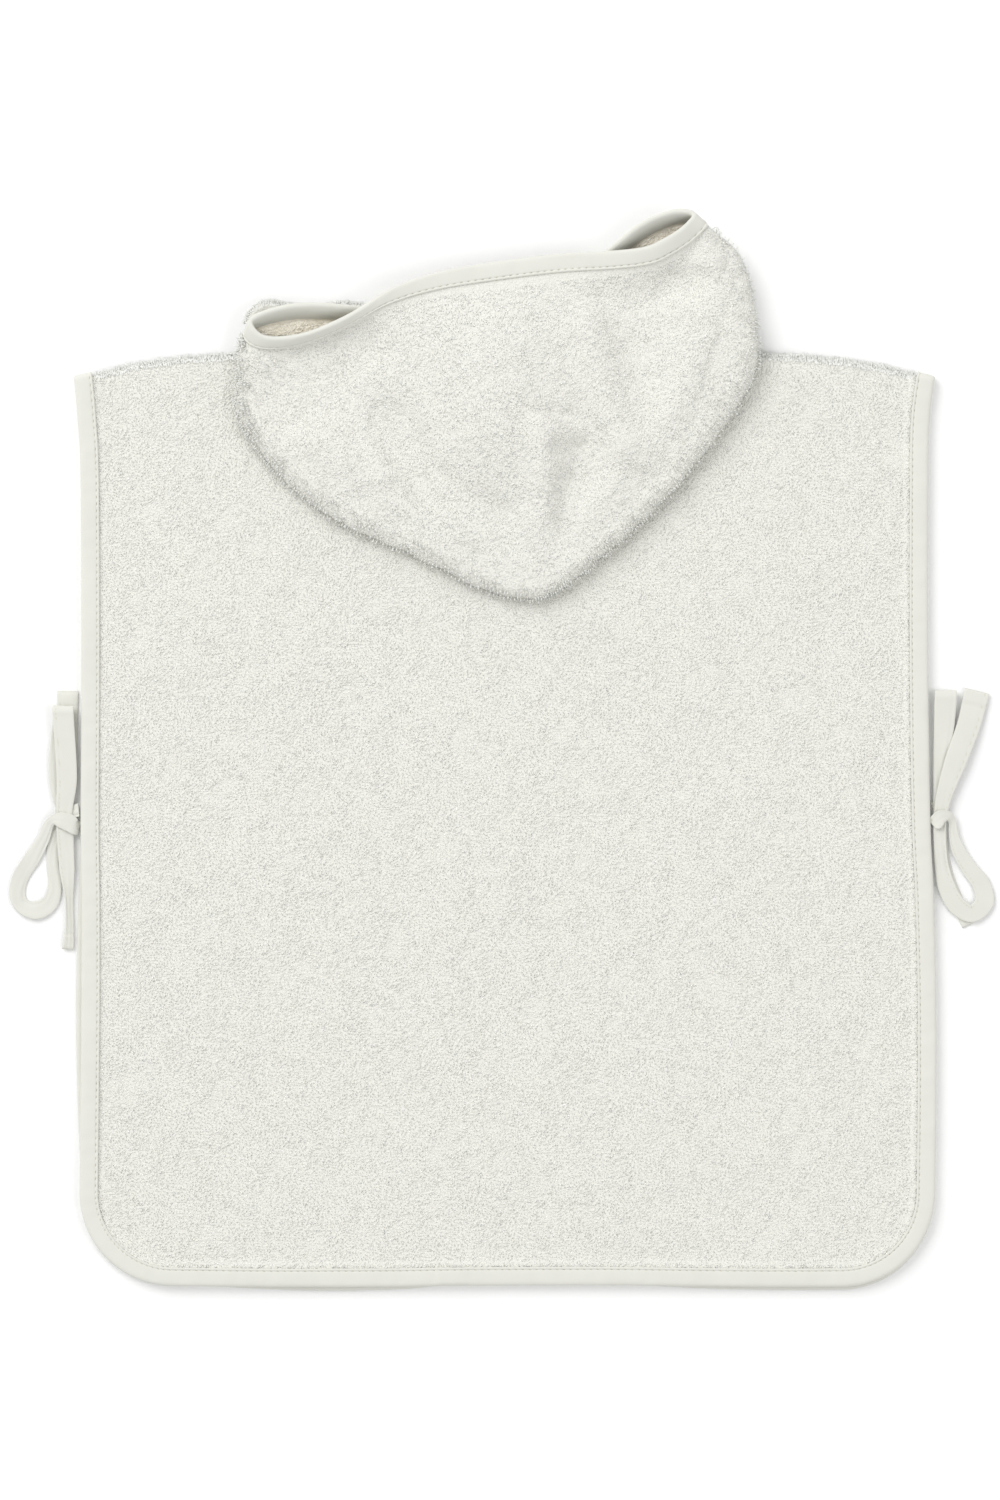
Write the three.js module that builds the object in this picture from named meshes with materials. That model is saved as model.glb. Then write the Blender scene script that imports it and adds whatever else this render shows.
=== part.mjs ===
// Hooded terry bath poncho for a small child, laid flat with its back up and its hood flopped
// down on the back. Millimetres, +Z up. The floor is z = 0 and +Y runs from the hem to the hood.
// The garment is drawn round the middle of its waist, then moved so that the origin is the
// bottom centre of its box.
import * as THREE from 'three';

// Cloth thicknesses
const GAP = 0.3;
const TERRY = 2.8;
const TERRY_IN_TAPE = 0.8;
const TAPE = 1.0;
const TAPE_WIDTH = 10.6;
const TAPE_SLOPE = 3;
const TAPE_FOLDED = 2 * (TAPE + GAP) + TERRY_IN_TAPE;

// Body
const NECK_HALF_WIDTH = 75.3;
const NECK_TOP = 273.4;
const NECK_DROP = 11.7;
const SHOULDER_DROP = 12.3;
const SHOULDER_LENGTH = 239;
const SHOULDER_TIP = 257.5;
const SHOULDER_TILT = 0.26;
const SHOULDER_CURVE = 0.004;
const SHOULDER_PLACES = [200, 140];
const NECK_STEPS = 14;
const CORNER_STEPS = 7;
const CORNER_TOP = -219;

// Half widths of the finished edge, from the shoulder down to the lower corners
const SIDES = [
  { y: SHOULDER_TIP, backLeft: 252.9, backRight: 252.2, frontLeft: 252.9, frontRight: 252.2 },
  { y: 235, backLeft: 251.0, backRight: 249.4, frontLeft: 250.8, frontRight: 249.2 },
  { y: 200, backLeft: 249.3, backRight: 248.7, frontLeft: 248.9, frontRight: 248.4 },
  { y: 94, backLeft: 248.9, backRight: 248.6, frontLeft: 248.3, frontRight: 248.0 },
  { y: 0, backLeft: 249.3, backRight: 249.9, frontLeft: 249.0, frontRight: 249.2 },
  { y: -47, backLeft: 248.8, backRight: 252.0, frontLeft: 250.8, frontRight: 251.2 },
  { y: -106, backLeft: 248.8, backRight: 253.3, frontLeft: 252.2, frontRight: 252.2 },
  { y: -165, backLeft: 249.3, backRight: 253.3, frontLeft: 251.2, frontRight: 252.4 },
  { y: CORNER_TOP, backLeft: 249.9, backRight: 252.6, frontLeft: 248.8, frontRight: 252.6 },
];

// Height of the two hems along their length, which is wavy by a millimetre or two
const HEMS = [
  { x: -195, back: -273.6, front: -272.6 },
  { x: -140, back: -274.2, front: -275.6 },
  { x: -100, back: -274.2, front: -276.6 },
  { x: -60, back: -274.0, front: -275.6 },
  { x: -20, back: -273.4, front: -272.8 },
  { x: 60, back: -273.2, front: -272.4 },
  { x: 110, back: -273.8, front: -275.0 },
  { x: 160, back: -274.2, front: -276.2 },
  { x: 198, back: -274.0, front: -276.0 },
];

// Layers: the front panel lies on the floor and the back panel on it
const FRONT = { low: 0, high: TERRY, tape: TAPE_FOLDED / 2 };
const BACK = {
  low: TERRY + GAP,
  high: 2 * TERRY + GAP,
  tape: TAPE_FOLDED * 1.5 + GAP,
};

// Loops of a panel from its raw edge to its field: how far each lies in from the taped edge and
// from the seams, and how much of the seam's rounding it takes
const FIELD_START = TAPE_WIDTH + GAP + TAPE_SLOPE;
const PANEL_LOOPS = [
  { tapeIn: TAPE + GAP, seamIn: 0, rounding: 1 },
  { tapeIn: TAPE_WIDTH + GAP, seamIn: 1, rounding: 0.35 },
  { tapeIn: FIELD_START, seamIn: 3, rounding: 0 },
];
const SEAM_REACH = 3.5;
const SEAM_ROLL = TERRY / 2;

// Steps of the tape's turn over each shoulder
const TURN_STEPS = 8;

// The hood is drawn by sections from its mouth to the neck, in order round the mouth. Each runs
// from mouth (x, y, z) to its fold at side (x, y), rolls over there from height top within
// roll, and comes back underneath to the neck (x, y, z). puff is how much of the crown's
// height and creases it takes, and wall is its thickness.
// Columns: mouth, side, roll, top, neck, puff, wall
const HOOD_LEFT = hoodSections([
  [[-0.6, 268.5, 5.6], [-0.6, 281.6], 2.4, 5.2, [-0.6, 262.4, 1.3], 0, 1.8],
  [[-38, 274, 6.4], [-39, 287.2], 2.4, 5.4, [-22, 263.4, 1.3], 0, 1.8],
  [[-64, 287.6, 9], [-65, 300.2], 2.4, 5.6, [-45, 266.6, 1.5], 0, 1.9],
  [[-91.7, 297.6, 14], [-92, 305.2], 1.6, 5.4, [-63, 270.9, 2.2], 0, 2.2],
  [[-117, 298.2, 16], [-118, 304.2], 1.4, 6.2, [-72.5, 273.8, 3.2], 0, 2.4],
  [[-135, 295.8, 17], [-140.5, 303.6], 2.0, 8.5, [-76.5, 276, 4.6], 0, 2.6],
  [[-148.6, 291, 19], [-154.2, 292.4], 1.8, 9, [-79, 277, 6.2], 0, 2.8],
  [[-144.5, 284.8, 20.5], [-155.2, 278], 3, 13, [-80, 275, 7.4], 0.1, 2.8],
  [[-133, 282.4, 21], [-156.2, 262], 8, 14, [-78, 272.4, 7.6], 0.5, 2.8],
  [[-114, 285.6, 22], [-156, 240], 9, 13.5, [-73, 270.2, 7.6], 0.9, 2.8],
  [[-91, 295.8, 22], [-145.5, 220], 10, 14, [-65, 268, 7.6], 1, 2.8],
  [[-66, 311, 19.5], [-113.5, 186], 11, 15, [-50, 265.4, 7.6], 1, 2.8],
  [[-38, 320.4, 17], [-61, 159.2], 11, 15, [-26, 262.6, 7.6], 1, 2.8],
  [[-3.5, 326.4, 15.5], [13, 130.4], 8, 13, [0, 261.2, 7.6], 1, 2.8],
]);
const HOOD_RIGHT = hoodSections([
  [[33, 330.8, 16.5], [60, 158.6], 10, 14, [26, 262.6, 7.6], 1, 2.8],
  [[62, 332.4, 19], [98, 194], 12, 15, [50, 265.4, 7.6], 1, 2.8],
  [[82, 334.6, 22], [131, 236], 18, 17.5, [68, 269.2, 7.6], 1, 2.8],
  [[93, 339.2, 24], [146, 264], 20, 18.5, [77, 272.4, 7.6], 0.9, 2.8],
  [[102.5, 345, 25], [147, 291], 20, 18.5, [80.5, 275.6, 6.8], 0.6, 2.8],
  [[107.8, 349.8, 25], [139.5, 318], 16, 18, [79, 277.4, 5.4], 0.2, 2.8],
  [[109.4, 353.2, 24], [125.5, 337], 8, 17, [74.5, 275.4, 4.2], 0, 2.6],
  [[106, 355.4, 22.5], [115.4, 353], 3, 13.5, [66, 271.6, 2.8], 0, 2.4],
  [[95.8, 353, 20], [97.4, 357.4], 1.6, 9.6, [52, 268, 1.8], 0, 2.2],
  [[82, 345.2, 17], [82.6, 351.6], 1.6, 7.4, [36, 265.1, 1.5], 0, 2.0],
  [[68, 333.6, 14.4], [68.6, 341], 1.6, 5.4, [24, 263.6, 1.4], 0, 1.9],
  [[38, 303, 8.6], [39, 315], 1.8, 5.4, [12, 262.8, 1.3], 0, 1.8],
  [[0.6, 268.5, 5.6], [0.6, 281.6], 2.4, 5.2, [0.6, 262.4, 1.3], 0, 1.8],
]);

// The crown stands this high where no fold crosses it, and never lower than its least height
const CROWN_HEIGHT = 12.4;
const CROWN_LEAST = 11.2;

// Soft folds of the crown: a ridge or, with a negative rise, a trough along a line
const CROWN_FOLDS = [
  { name: 'dome', from: [-9, 285], to: [-3, 245], width: 52, rise: 9 },
  { name: 'right of the dome', from: [50, 290], to: [68, 222], width: 14, rise: 4 },
  { name: 'lower left lobe', from: [-126, 218], to: [-34, 166], width: 24, rise: 6 },
  { name: 'right side', from: [122, 322], to: [106, 232], width: 22, rise: 7 },
  { name: 'lower right lobe', from: [82, 206], to: [58, 166], width: 20, rise: 4 },
  { name: 'pleat to the tip', from: [24, 228], to: [20, 138], width: 8, rise: 3 },
  { name: 'crescent, upper part', from: [-63, 228], to: [-40, 192], width: 11, rise: -7 },
  { name: 'crescent, lower part', from: [-38, 190], to: [2, 151], width: 10, rise: -5 },
  { name: 'right of the pleat', from: [48, 218], to: [37, 160], width: 8, rise: -5 },
  { name: 'below the left loop', from: [-92, 279], to: [-138, 230], width: 14, rise: -7 },
  { name: 'short crease', from: [18, 240], to: [52, 238], width: 5, rise: -3 },
  { name: 'below the right loop', from: [62, 313], to: [114, 316], width: 9, rise: -4 },
];

// Rows of the hood's mesh: the taped band, the crown, the roll and the layer underneath
const HOOD_BAND = TAPE_WIDTH - TAPE;
const HOOD_COLUMNS_PER_SECTION = 2;
const HOOD_CROWN_ROWS = 6;
const HOOD_ROLL_ROWS = 5;
const HOOD_UNDER_ROWS = 5;
const HOOD_ROLL_UNDER = 6;
const HOOD_FLOOR_GAP = 0.2;
const FLOOR_SLOPE = 18;

// The taped band takes at most this share of the way to the fold, and the folds of the crown
// come in after the first share of that way and go out over the second
const BAND_SHARE_MOST = 0.94;
const FOLDS_IN = 0.3;
const FOLDS_OUT = 0.75;

// Ties: flat tape, with the route of each as points (x, y, z) and the direction across it
const TIE_THICKNESS = 1.0;
const TIE_CLEARANCE = 0.2;
const TIE_ROUTES = {
  tie_left_back: [
    { at: [-250.4, 6.0, 4.0], across: [0, 1, 0], width: 8 },
    { at: [-254.5, 5.6, 2.9], across: [0, 1, 0], width: 8 },
    { at: [-260.0, 9.0, 2.5], across: [0.7, 0.7, 0], width: 8 },
    { at: [-262.6, 18.6, 2.5], across: [1, 0, 0], width: 9 },
    { at: [-262.6, 35.3, 2.6], across: [1, 0, 0], width: 11 },
    { at: [-259.6, 60.2, 3.0], across: [1, 0, 0], width: 12 },
    { at: [-259.6, 64.2, 3.2], across: [1, 0, 0], width: 12.5 },
    { at: [-259.6, 66.8, 4.9], across: [1, 0, 0], width: 12.5 },
    { at: [-259.6, 64.2, 6.6], across: [1, 0, 0], width: 12.5 },
    { at: [-259.4, 60.2, 6.5], across: [1, 0, 0], width: 12.5 },
    { at: [-257.4, 23.5, 5.0], across: [1, 0, 0], width: 12 },
    { at: [-258.6, 9.0, 4.3], across: [1, 0, 0], width: 10 },
    { at: [-259.0, 0.0, 4.1], across: [1, 0, 0], width: 9 },
    { at: [-258.4, -10.0, 3.6], across: [1, 0, 0], width: 10 },
    { at: [-257.4, -29.4, 2.9], across: [1, 0, 0], width: 9 },
    { at: [-256.2, -46.0, 2.4], across: [1, 0, -0.4], width: 5 },
    { at: [-256.0, -62.0, 2.0], across: [1, 0, -0.4], width: 5 },
    { at: [-257.0, -76.0, 1.8], across: [1, 0, -0.2], width: 7 },
  ],
  tie_left_front: [
    { at: [-250.4, -5.0, 2.6], across: [0, 1, 0], width: 8 },
    { at: [-252.8, -4.0, 4.8], across: [0, 1, 0], width: 9 },
    { at: [-256.4, -1.4, 5.6], across: [0, 1, 0], width: 10.5 },
    { at: [-262.0, 0.2, 5.6], across: [0.1, 1, 0], width: 9 },
    { at: [-265.8, -0.2, 4.4], across: [-0.25, 1, 0], width: 5.5 },
    { at: [-268.2, -3.0, 3.0], across: [-0.6, 0.8, 0], width: 6 },
    { at: [-271.0, -10.5, 2.3], across: [-0.85, 0.5, 0], width: 7 },
    { at: [-277.6, -22.0, 1.5], across: [-0.85, 0.5, 0], width: 9.5 },
    { at: [-284.6, -33.5, 1.2], across: [-0.9, 0.4, 0.1], width: 10 },
    { at: [-286.6, -43.5, 1.4], across: [-1, 0, 0.2], width: 9.5 },
    { at: [-283.6, -50.4, 1.6], across: [-0.8, -0.6, 0.2], width: 9 },
    { at: [-275.6, -53.0, 1.8], across: [0, -1, 0.1], width: 11 },
    { at: [-267.8, -49.0, 1.4], across: [0.8, -0.7, 0], width: 10 },
    { at: [-264.6, -38.2, 1.0], across: [1, 0, 0], width: 8 },
    { at: [-266.0, -26.0, 0.8], across: [1, 0, 0], width: 7 },
    { at: [-265.4, -15.0, 0.8], across: [1, 0.1, 0], width: 7 },
    { at: [-262.0, -4.0, 0.8], across: [1, 0.2, 0], width: 7 },
    { at: [-259.6, 10.0, 0.8], across: [1, 0.1, 0], width: 9 },
    { at: [-257.6, 40.0, 0.8], across: [1, 0, 0], width: 12 },
    { at: [-257.0, 76.0, 0.8], across: [1, 0.05, 0], width: 12.5 },
  ],
  tie_right_back: [
    { at: [251.0, 8.0, 1.7], across: [0, 1, 0], width: 5 },
    { at: [253.9, 9.3, 1.0], across: [-0.4, 1, 0], width: 4.5 },
    { at: [256.4, 13.5, 0.9], across: [-0.9, 0.5, 0], width: 5 },
    { at: [257.4, 23.0, 0.8], across: [-1, 0, 0], width: 8.5 },
    { at: [258.0, 47.0, 0.9], across: [-1, 0, 0], width: 11.5 },
    { at: [258.7, 68.0, 0.9], across: [-1, 0, 0], width: 13 },
    { at: [259.0, 73.4, 1.0], across: [-1, 0, 0], width: 13 },
    { at: [259.1, 76.0, 2.7], across: [-1, 0, 0], width: 13 },
    { at: [259.0, 73.4, 4.4], across: [-1, 0, 0], width: 13 },
    { at: [258.7, 68.0, 4.3], across: [-1, 0, 0], width: 13 },
    { at: [258.0, 55.0, 3.9], across: [-1, 0, 0], width: 12 },
    { at: [256.2, 36.0, 2.9], across: [-1, 0, 0], width: 9 },
    { at: [255.4, 18.0, 2.9], across: [-1, 0, 0], width: 7.5 },
    { at: [255.4, 4.0, 2.75], across: [-1, 0, 0], width: 7.5 },
    { at: [255.8, -8.0, 1.9], across: [-1, 0, 0], width: 8 },
    { at: [257.0, -20.0, 0.9], across: [-1, -0.1, 0], width: 8 },
    { at: [260.4, -34.0, 0.8], across: [-1, -0.3, 0], width: 8 },
    { at: [266.0, -48.0, 0.8], across: [-0.9, -0.4, 0], width: 8 },
    { at: [272.4, -62.0, 0.9], across: [-0.9, -0.4, 0], width: 7.5 },
  ],
  tie_right_front: [
    { at: [251.5, -3.0, 5.0], across: [0, 1, 0], width: 6 },
    { at: [252.9, -1.6, 5.6], across: [0, 1, 0], width: 9 },
    { at: [256.1, 1.8, 5.8], across: [0, 1, 0], width: 8.5 },
    { at: [260.8, 2.2, 5.0], across: [0.2, 1, 0], width: 5.5 },
    { at: [262.8, -1.0, 3.6], across: [0.6, 0.8, 0], width: 4.5 },
    { at: [263.6, -7.4, 2.9], across: [0.9, 0.4, 0], width: 5.5 },
    { at: [266.2, -17.0, 2.7], across: [0.9, 0.5, 0], width: 8 },
    { at: [272.6, -28.0, 2.2], across: [0.8, 0.6, 0], width: 9.5 },
    { at: [280.0, -38.0, 1.8], across: [0.85, 0.5, 0], width: 11 },
    { at: [281.6, -48.5, 2.0], across: [1, -0.2, 0], width: 11.5 },
    { at: [274.6, -55.0, 2.6], across: [0.3, -1, 0], width: 10 },
    { at: [265.6, -50.0, 2.8], across: [-0.7, -0.7, 0], width: 11 },
    { at: [259.6, -39.0, 3.0], across: [-0.9, -0.4, 0], width: 10.5 },
    { at: [256.6, -26.0, 3.2], across: [-1, -0.1, 0], width: 8 },
    { at: [255.6, -14.0, 3.6], across: [-1, 0, 0], width: 7.5 },
    { at: [255.6, 0.0, 3.9], across: [-1, 0, 0], width: 7.5 },
    { at: [258.0, 14.0, 4.4], across: [-1, 0.1, 0], width: 9.5 },
    { at: [264.6, 34.0, 4.8], across: [-1, 0.35, 0], width: 13 },
    { at: [272.6, 56.0, 3.4], across: [-1, 0.3, 0], width: 14 },
    { at: [277.6, 76.0, 1.8], across: [-1, 0.25, 0], width: 15 },
  ],
};
const TIE_STEPS_PER_POINT = 3;

// Colours of the cloth
const CREAM_TERRY = 0xe7e7e0;
const CREAM_TAPE = 0xe4e4dc;

function cloth(color) {
  return new THREE.MeshStandardMaterial({ color, roughness: 0.95, metalness: 0, side: THREE.DoubleSide });
}

function mix(a, b, t) {
  return a + (b - a) * t;
}

function smooth(low, high, value) {
  const t = THREE.MathUtils.clamp((value - low) / (high - low), 0, 1);
  return t * t * (3 - 2 * t);
}

// Sections of the hood with their columns named
function hoodSections(rows) {
  return rows.map(([mouth, side, roll, top, neck, puff, wall]) => (
    { mouth, side, roll, top, neck, puff, wall }
  ));
}

// Smooth curve through the named column of a table, at place t counted in rows
function column(table, read, t) {
  const last = table.length - 1;
  const row = Math.min(Math.floor(t), last - 1);
  const f = t - row;
  const [a, b, c, d] = [row - 1, row, row + 1, row + 2].map(
    (k) => read(table[THREE.MathUtils.clamp(k, 0, last)]),
  );
  const left = (c - a) / 2;
  const right = (d - b) / 2;
  const cubic = 2 * b - 2 * c + left + right;
  const square = 3 * c - 3 * b - 2 * left - right;
  return ((cubic * f + square) * f + left) * f + b;
}

// A closed mesh from its points and faces, turned so that its faces point out
function closedBody(points, faces) {
  const body = new THREE.BufferGeometry();
  body.setAttribute('position', new THREE.Float32BufferAttribute(points.flat(), 3));
  const volume = faces.reduce((sum, [a, b, c]) => {
    const [p, q, r] = [points[a], points[b], points[c]].map((v) => new THREE.Vector3(...v));
    return sum + p.dot(q.cross(r));
  }, 0);
  body.setIndex((volume < 0 ? faces.map(([a, b, c]) => [a, c, b]) : faces).flat());
  body.computeVertexNormals();
  return body;
}

// A section carried along stations, each with its place and its two directions
function sweep(stations, section, closed) {
  const points = stations.flatMap(({ place, along, up, scale = 1 }) => section.map(([b, n]) => [
    place.x + along.x * b * scale + up.x * n,
    place.y + along.y * b * scale + up.y * n,
    place.z + along.z * b * scale + up.z * n,
  ]));
  const faces = [];
  const size = section.length;
  const steps = closed ? stations.length : stations.length - 1;
  for (let i = 0; i < steps; i += 1) {
    const here = i * size;
    const next = ((i + 1) % stations.length) * size;
    for (let j = 0; j < size; j += 1) {
      const k = (j + 1) % size;
      const outwards = section[k][0] > section[j][0];
      if (outwards) faces.push([here + j, next + j, here + k], [next + j, next + k, here + k]);
      else faces.push([here + j, next + j, next + k], [here + j, next + k, here + k]);
    }
  }
  if (!closed) {
    const outline = section.map(([b, n]) => new THREE.Vector2(b, n));
    const end = (stations.length - 1) * size;
    const turning = Math.sign(THREE.ShapeUtils.area(outline));
    for (const [a, b, c] of THREE.ShapeUtils.triangulateShape(outline, [])) {
      const same = Math.sign(THREE.ShapeUtils.area([outline[a], outline[b], outline[c]])) === turning;
      const [p, q] = same ? [b, c] : [c, b];
      faces.push([a, p, q], [end + a, end + q, end + p]);
    }
  }
  return closedBody(points, faces);
}

// Tape folded over an edge: b = 0 is its outer fold, and its two layers run inwards from there
function tapeSection(width) {
  const outer = TAPE_FOLDED / 2;
  const inner = outer - TAPE;
  const [flatFrom, bendAt, bendHeight] = [1.6, 0.4, outer * 0.72];
  const foldInside = TAPE + 0.1;
  return [
    [-width, inner], [-width, outer], [-flatFrom, outer], [-bendAt, bendHeight], [0, 0],
    [-bendAt, -bendHeight], [-flatFrom, -outer], [-width, -outer], [-width, -inner],
    [-foldInside, -inner], [-TAPE, 0], [-foldInside, inner],
  ];
}

// Height of the neckline and the shoulder line above the waist at place x
function topEdge(x) {
  const side = Math.abs(x);
  if (side < NECK_HALF_WIDTH) return NECK_TOP - NECK_DROP * (1 - (side / NECK_HALF_WIDTH) ** 2);
  const along = Math.min((side - NECK_HALF_WIDTH) / (SHOULDER_LENGTH - NECK_HALF_WIDTH), 1);
  const past = Math.max(side - SHOULDER_LENGTH, 0);
  return NECK_TOP - SHOULDER_DROP * along ** 4 - past * (SHOULDER_TILT + SHOULDER_CURVE * past);
}

// The taped edge of a panel, from its left shoulder round the hem to its right shoulder
function tapedEdge(panel) {
  const left = (row) => row[`${panel}Left`];
  const right = (row) => row[`${panel}Right`];
  const sideSteps = 2 * (SIDES.length - 1);
  const side = (read, sign) => Array.from({ length: sideSteps + 1 }, (_, i) => new THREE.Vector2(
    sign * column(SIDES, read, i / 2),
    column(SIDES, (row) => row.y, i / 2),
  ));
  const hemRow = (read) => Array.from({ length: 2 * (HEMS.length - 1) + 1 }, (_, i) => new THREE.Vector2(
    column(HEMS, (row) => row.x, i / 2),
    column(HEMS, read, i / 2),
  ));
  const leftSide = side(left, -1);
  const rightSide = side(right, 1);
  const hem = hemRow((row) => row[panel]);
  const leftEnd = leftSide[leftSide.length - 1];
  const rightEnd = rightSide[rightSide.length - 1];
  return [
    ...leftSide,
    ...cornerArc(leftEnd, hem[0]),
    ...hem,
    ...cornerArc(rightEnd, hem[hem.length - 1]).reverse(),
    ...rightSide.reverse(),
  ];
}

// Points of a rounded corner between the end of a side and the start of a hem
function cornerArc(sideEnd, hemEnd) {
  const centre = new THREE.Vector2(hemEnd.x, sideEnd.y);
  return Array.from({ length: CORNER_STEPS - 1 }, (_, i) => {
    const angle = ((i + 1) / CORNER_STEPS) * (Math.PI / 2);
    return new THREE.Vector2(
      mix(centre.x, sideEnd.x, Math.cos(angle)),
      mix(centre.y, hemEnd.y, Math.sin(angle)),
    );
  });
}

// A line of points moved inwards, each across the mean of its two neighbours
function movedIn(line, distance) {
  return line.map((point, i) => {
    const before = line[Math.max(i - 1, 0)];
    const after = line[Math.min(i + 1, line.length - 1)];
    const run = after.clone().sub(before).normalize();
    return new THREE.Vector2(point.x - run.y * distance, point.y + run.x * distance);
  });
}

// One loop of a panel: its taped edge and its seam edge, each moved in by its own distance
function panelLoop(panel, tapeIn, seamIn) {
  const taped = movedIn(tapedEdge(panel), tapeIn);
  const start = taped[0];
  const end = taped[taped.length - 1];
  start.y = topEdge(start.x) - seamIn;
  end.y = topEdge(end.x) - seamIn;
  const deeper = PANEL_LOOPS.map((loop) => loop.tapeIn).filter((reach) => reach > tapeIn);
  const shoulder = [...deeper.map((reach) => SIDES[0].backLeft - reach), ...SHOULDER_PLACES];
  const neck = Array.from(
    { length: NECK_STEPS + 1 },
    (_, i) => mix(NECK_HALF_WIDTH, -NECK_HALF_WIDTH, i / NECK_STEPS),
  );
  const places = [...shoulder, ...neck, ...shoulder.map((place) => -place).reverse()];
  return [...taped, ...places.map((x) => new THREE.Vector2(x, topEdge(x) - seamIn))];
}

// How far a point lies from a line of points
function distanceTo(line, point) {
  let least = Infinity;
  for (let i = 1; i < line.length; i += 1) {
    const run = line[i].clone().sub(line[i - 1]);
    const t = THREE.MathUtils.clamp(point.clone().sub(line[i - 1]).dot(run) / run.lengthSq(), 0, 1);
    least = Math.min(least, point.distanceTo(line[i - 1].clone().addScaledVector(run, t)));
  }
  return least;
}

// Faces between an outer and an inner chain of points, both running from right to left
function joinChains([outer, inner], placeOf, addFace) {
  let [i, j] = [0, 0];
  while (i + 1 < outer.length || j + 1 < inner.length) {
    const outerNext = i + 1 < outer.length ? placeOf(outer[i + 1]) : -Infinity;
    const innerNext = j + 1 < inner.length ? placeOf(inner[j + 1]) : -Infinity;
    if (outerNext >= innerNext - 0.1) {
      addFace(outer[i], outer[i + 1], inner[j]);
      i += 1;
    } else {
      addFace(outer[i], inner[j + 1], inner[j]);
      j += 1;
    }
  }
}

// A terry panel: full thickness in its field, squeezed flat inside its tape, rounded at its seams
function terryPanel(panel, layer) {
  const taped = tapedEdge(panel);
  const loops = PANEL_LOOPS.map(({ tapeIn, seamIn }) => panelLoop(panel, tapeIn, seamIn));
  const squeezed = [layer.tape - TERRY_IN_TAPE / 2, layer.tape + TERRY_IN_TAPE / 2];
  const sheet = loops.flatMap((loop, k) => loop.map((point) => {
    const inTape = THREE.MathUtils.clamp((FIELD_START - distanceTo(taped, point)) / TAPE_SLOPE, 0, 1);
    const atSeam = topEdge(point.x) - point.y < SEAM_REACH;
    const seam = atSeam ? SEAM_ROLL * PANEL_LOOPS[k].rounding : 0;
    const low = layer.low + (panel === 'front' ? seam : 0);
    const high = layer.high - (panel === 'back' ? seam : 0);
    return { point, low: mix(low, squeezed[0], inTape), high: mix(high, squeezed[1], inTape) };
  }));
  const starts = [0, loops[0].length, loops[0].length + loops[1].length];
  const half = sheet.length;
  const faces = [];
  const addFace = (a, b, c) => faces.push([a + half, b + half, c + half], [a, c, b]);
  for (const [outer, inner] of [[0, 1], [1, 2]]) {
    for (let i = 0; i + 1 < taped.length; i += 1) {
      const [a, b] = [starts[outer] + i, starts[inner] + i];
      addFace(a, a + 1, b + 1);
      addFace(a, b + 1, b);
    }
    const chains = [outer, inner].map((k) => {
      const first = taped.length - 1;
      const seamPoints = Array.from({ length: loops[k].length - first }, (_, i) => starts[k] + first + i);
      return [...seamPoints, starts[k]];
    });
    joinChains(chains, (index) => sheet[index].point.x, addFace);
  }
  for (const [a, b, c] of THREE.ShapeUtils.triangulateShape(loops[2], [])) {
    addFace(a + starts[2], b + starts[2], c + starts[2]);
  }
  for (let i = 0; i < loops[0].length; i += 1) {
    const j = (i + 1) % loops[0].length;
    faces.push([i, j, j + half], [i, j + half, i + half]);
  }
  const points = [
    ...sheet.map(({ point, low }) => [point.x, point.y, low]),
    ...sheet.map(({ point, high }) => [point.x, point.y, high]),
  ];
  return closedBody(points, faces);
}

// The tape round both panels: up the back, over each shoulder fold and down the front
function edgeBinding() {
  const stationsOf = (panel, height, sign) => {
    const line = tapedEdge(panel);
    return line.map((point, i) => {
      const before = line[Math.max(i - 1, 0)];
      const after = line[Math.min(i + 1, line.length - 1)];
      const run = after.clone().sub(before).normalize();
      const atShoulder = i === 0 || i === line.length - 1;
      const along = atShoulder
        ? new THREE.Vector3(Math.sign(point.x), -SHOULDER_TILT, 0).normalize()
        : new THREE.Vector3(run.y, -run.x, 0);
      return { place: new THREE.Vector3(point.x, point.y, height), along, up: new THREE.Vector3(0, 0, sign) };
    });
  };
  const back = stationsOf('back', BACK.tape, 1);
  const front = stationsOf('front', FRONT.tape, -1);
  const radius = (BACK.tape - FRONT.tape) / 2;
  const middle = (BACK.tape + FRONT.tape) / 2;
  const turn = (from) => Array.from({ length: TURN_STEPS - 1 }, (_, i) => {
    const angle = ((i + 1) / TURN_STEPS) * Math.PI;
    const ahead = new THREE.Vector3(-from.along.y, from.along.x, 0).multiplyScalar(Math.sign(from.along.x));
    const place = from.place.clone().addScaledVector(ahead, radius * Math.sin(angle));
    place.z = middle + radius * Math.cos(angle);
    const up = ahead.multiplyScalar(Math.sin(angle)).setZ(Math.cos(angle));
    return { place, along: from.along, up };
  });
  const stations = [
    ...back,
    ...turn(back[back.length - 1]),
    ...front.reverse(),
    ...turn(back[0]).reverse(),
  ];
  return sweep(stations, tapeSection(TAPE_WIDTH), true);
}

// Height of the crown's middle surface over a place
function crownHeight(x, y) {
  const here = new THREE.Vector2(x, y);
  const height = CROWN_FOLDS.reduce((sum, fold) => {
    const line = [new THREE.Vector2(...fold.from), new THREE.Vector2(...fold.to)];
    return sum + fold.rise * Math.exp(-((distanceTo(line, here) / fold.width) ** 2));
  }, CROWN_HEIGHT);
  const over = height - CROWN_LEAST;
  return CROWN_LEAST + (over + Math.sqrt(over * over + 1)) / 2;
}

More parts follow.
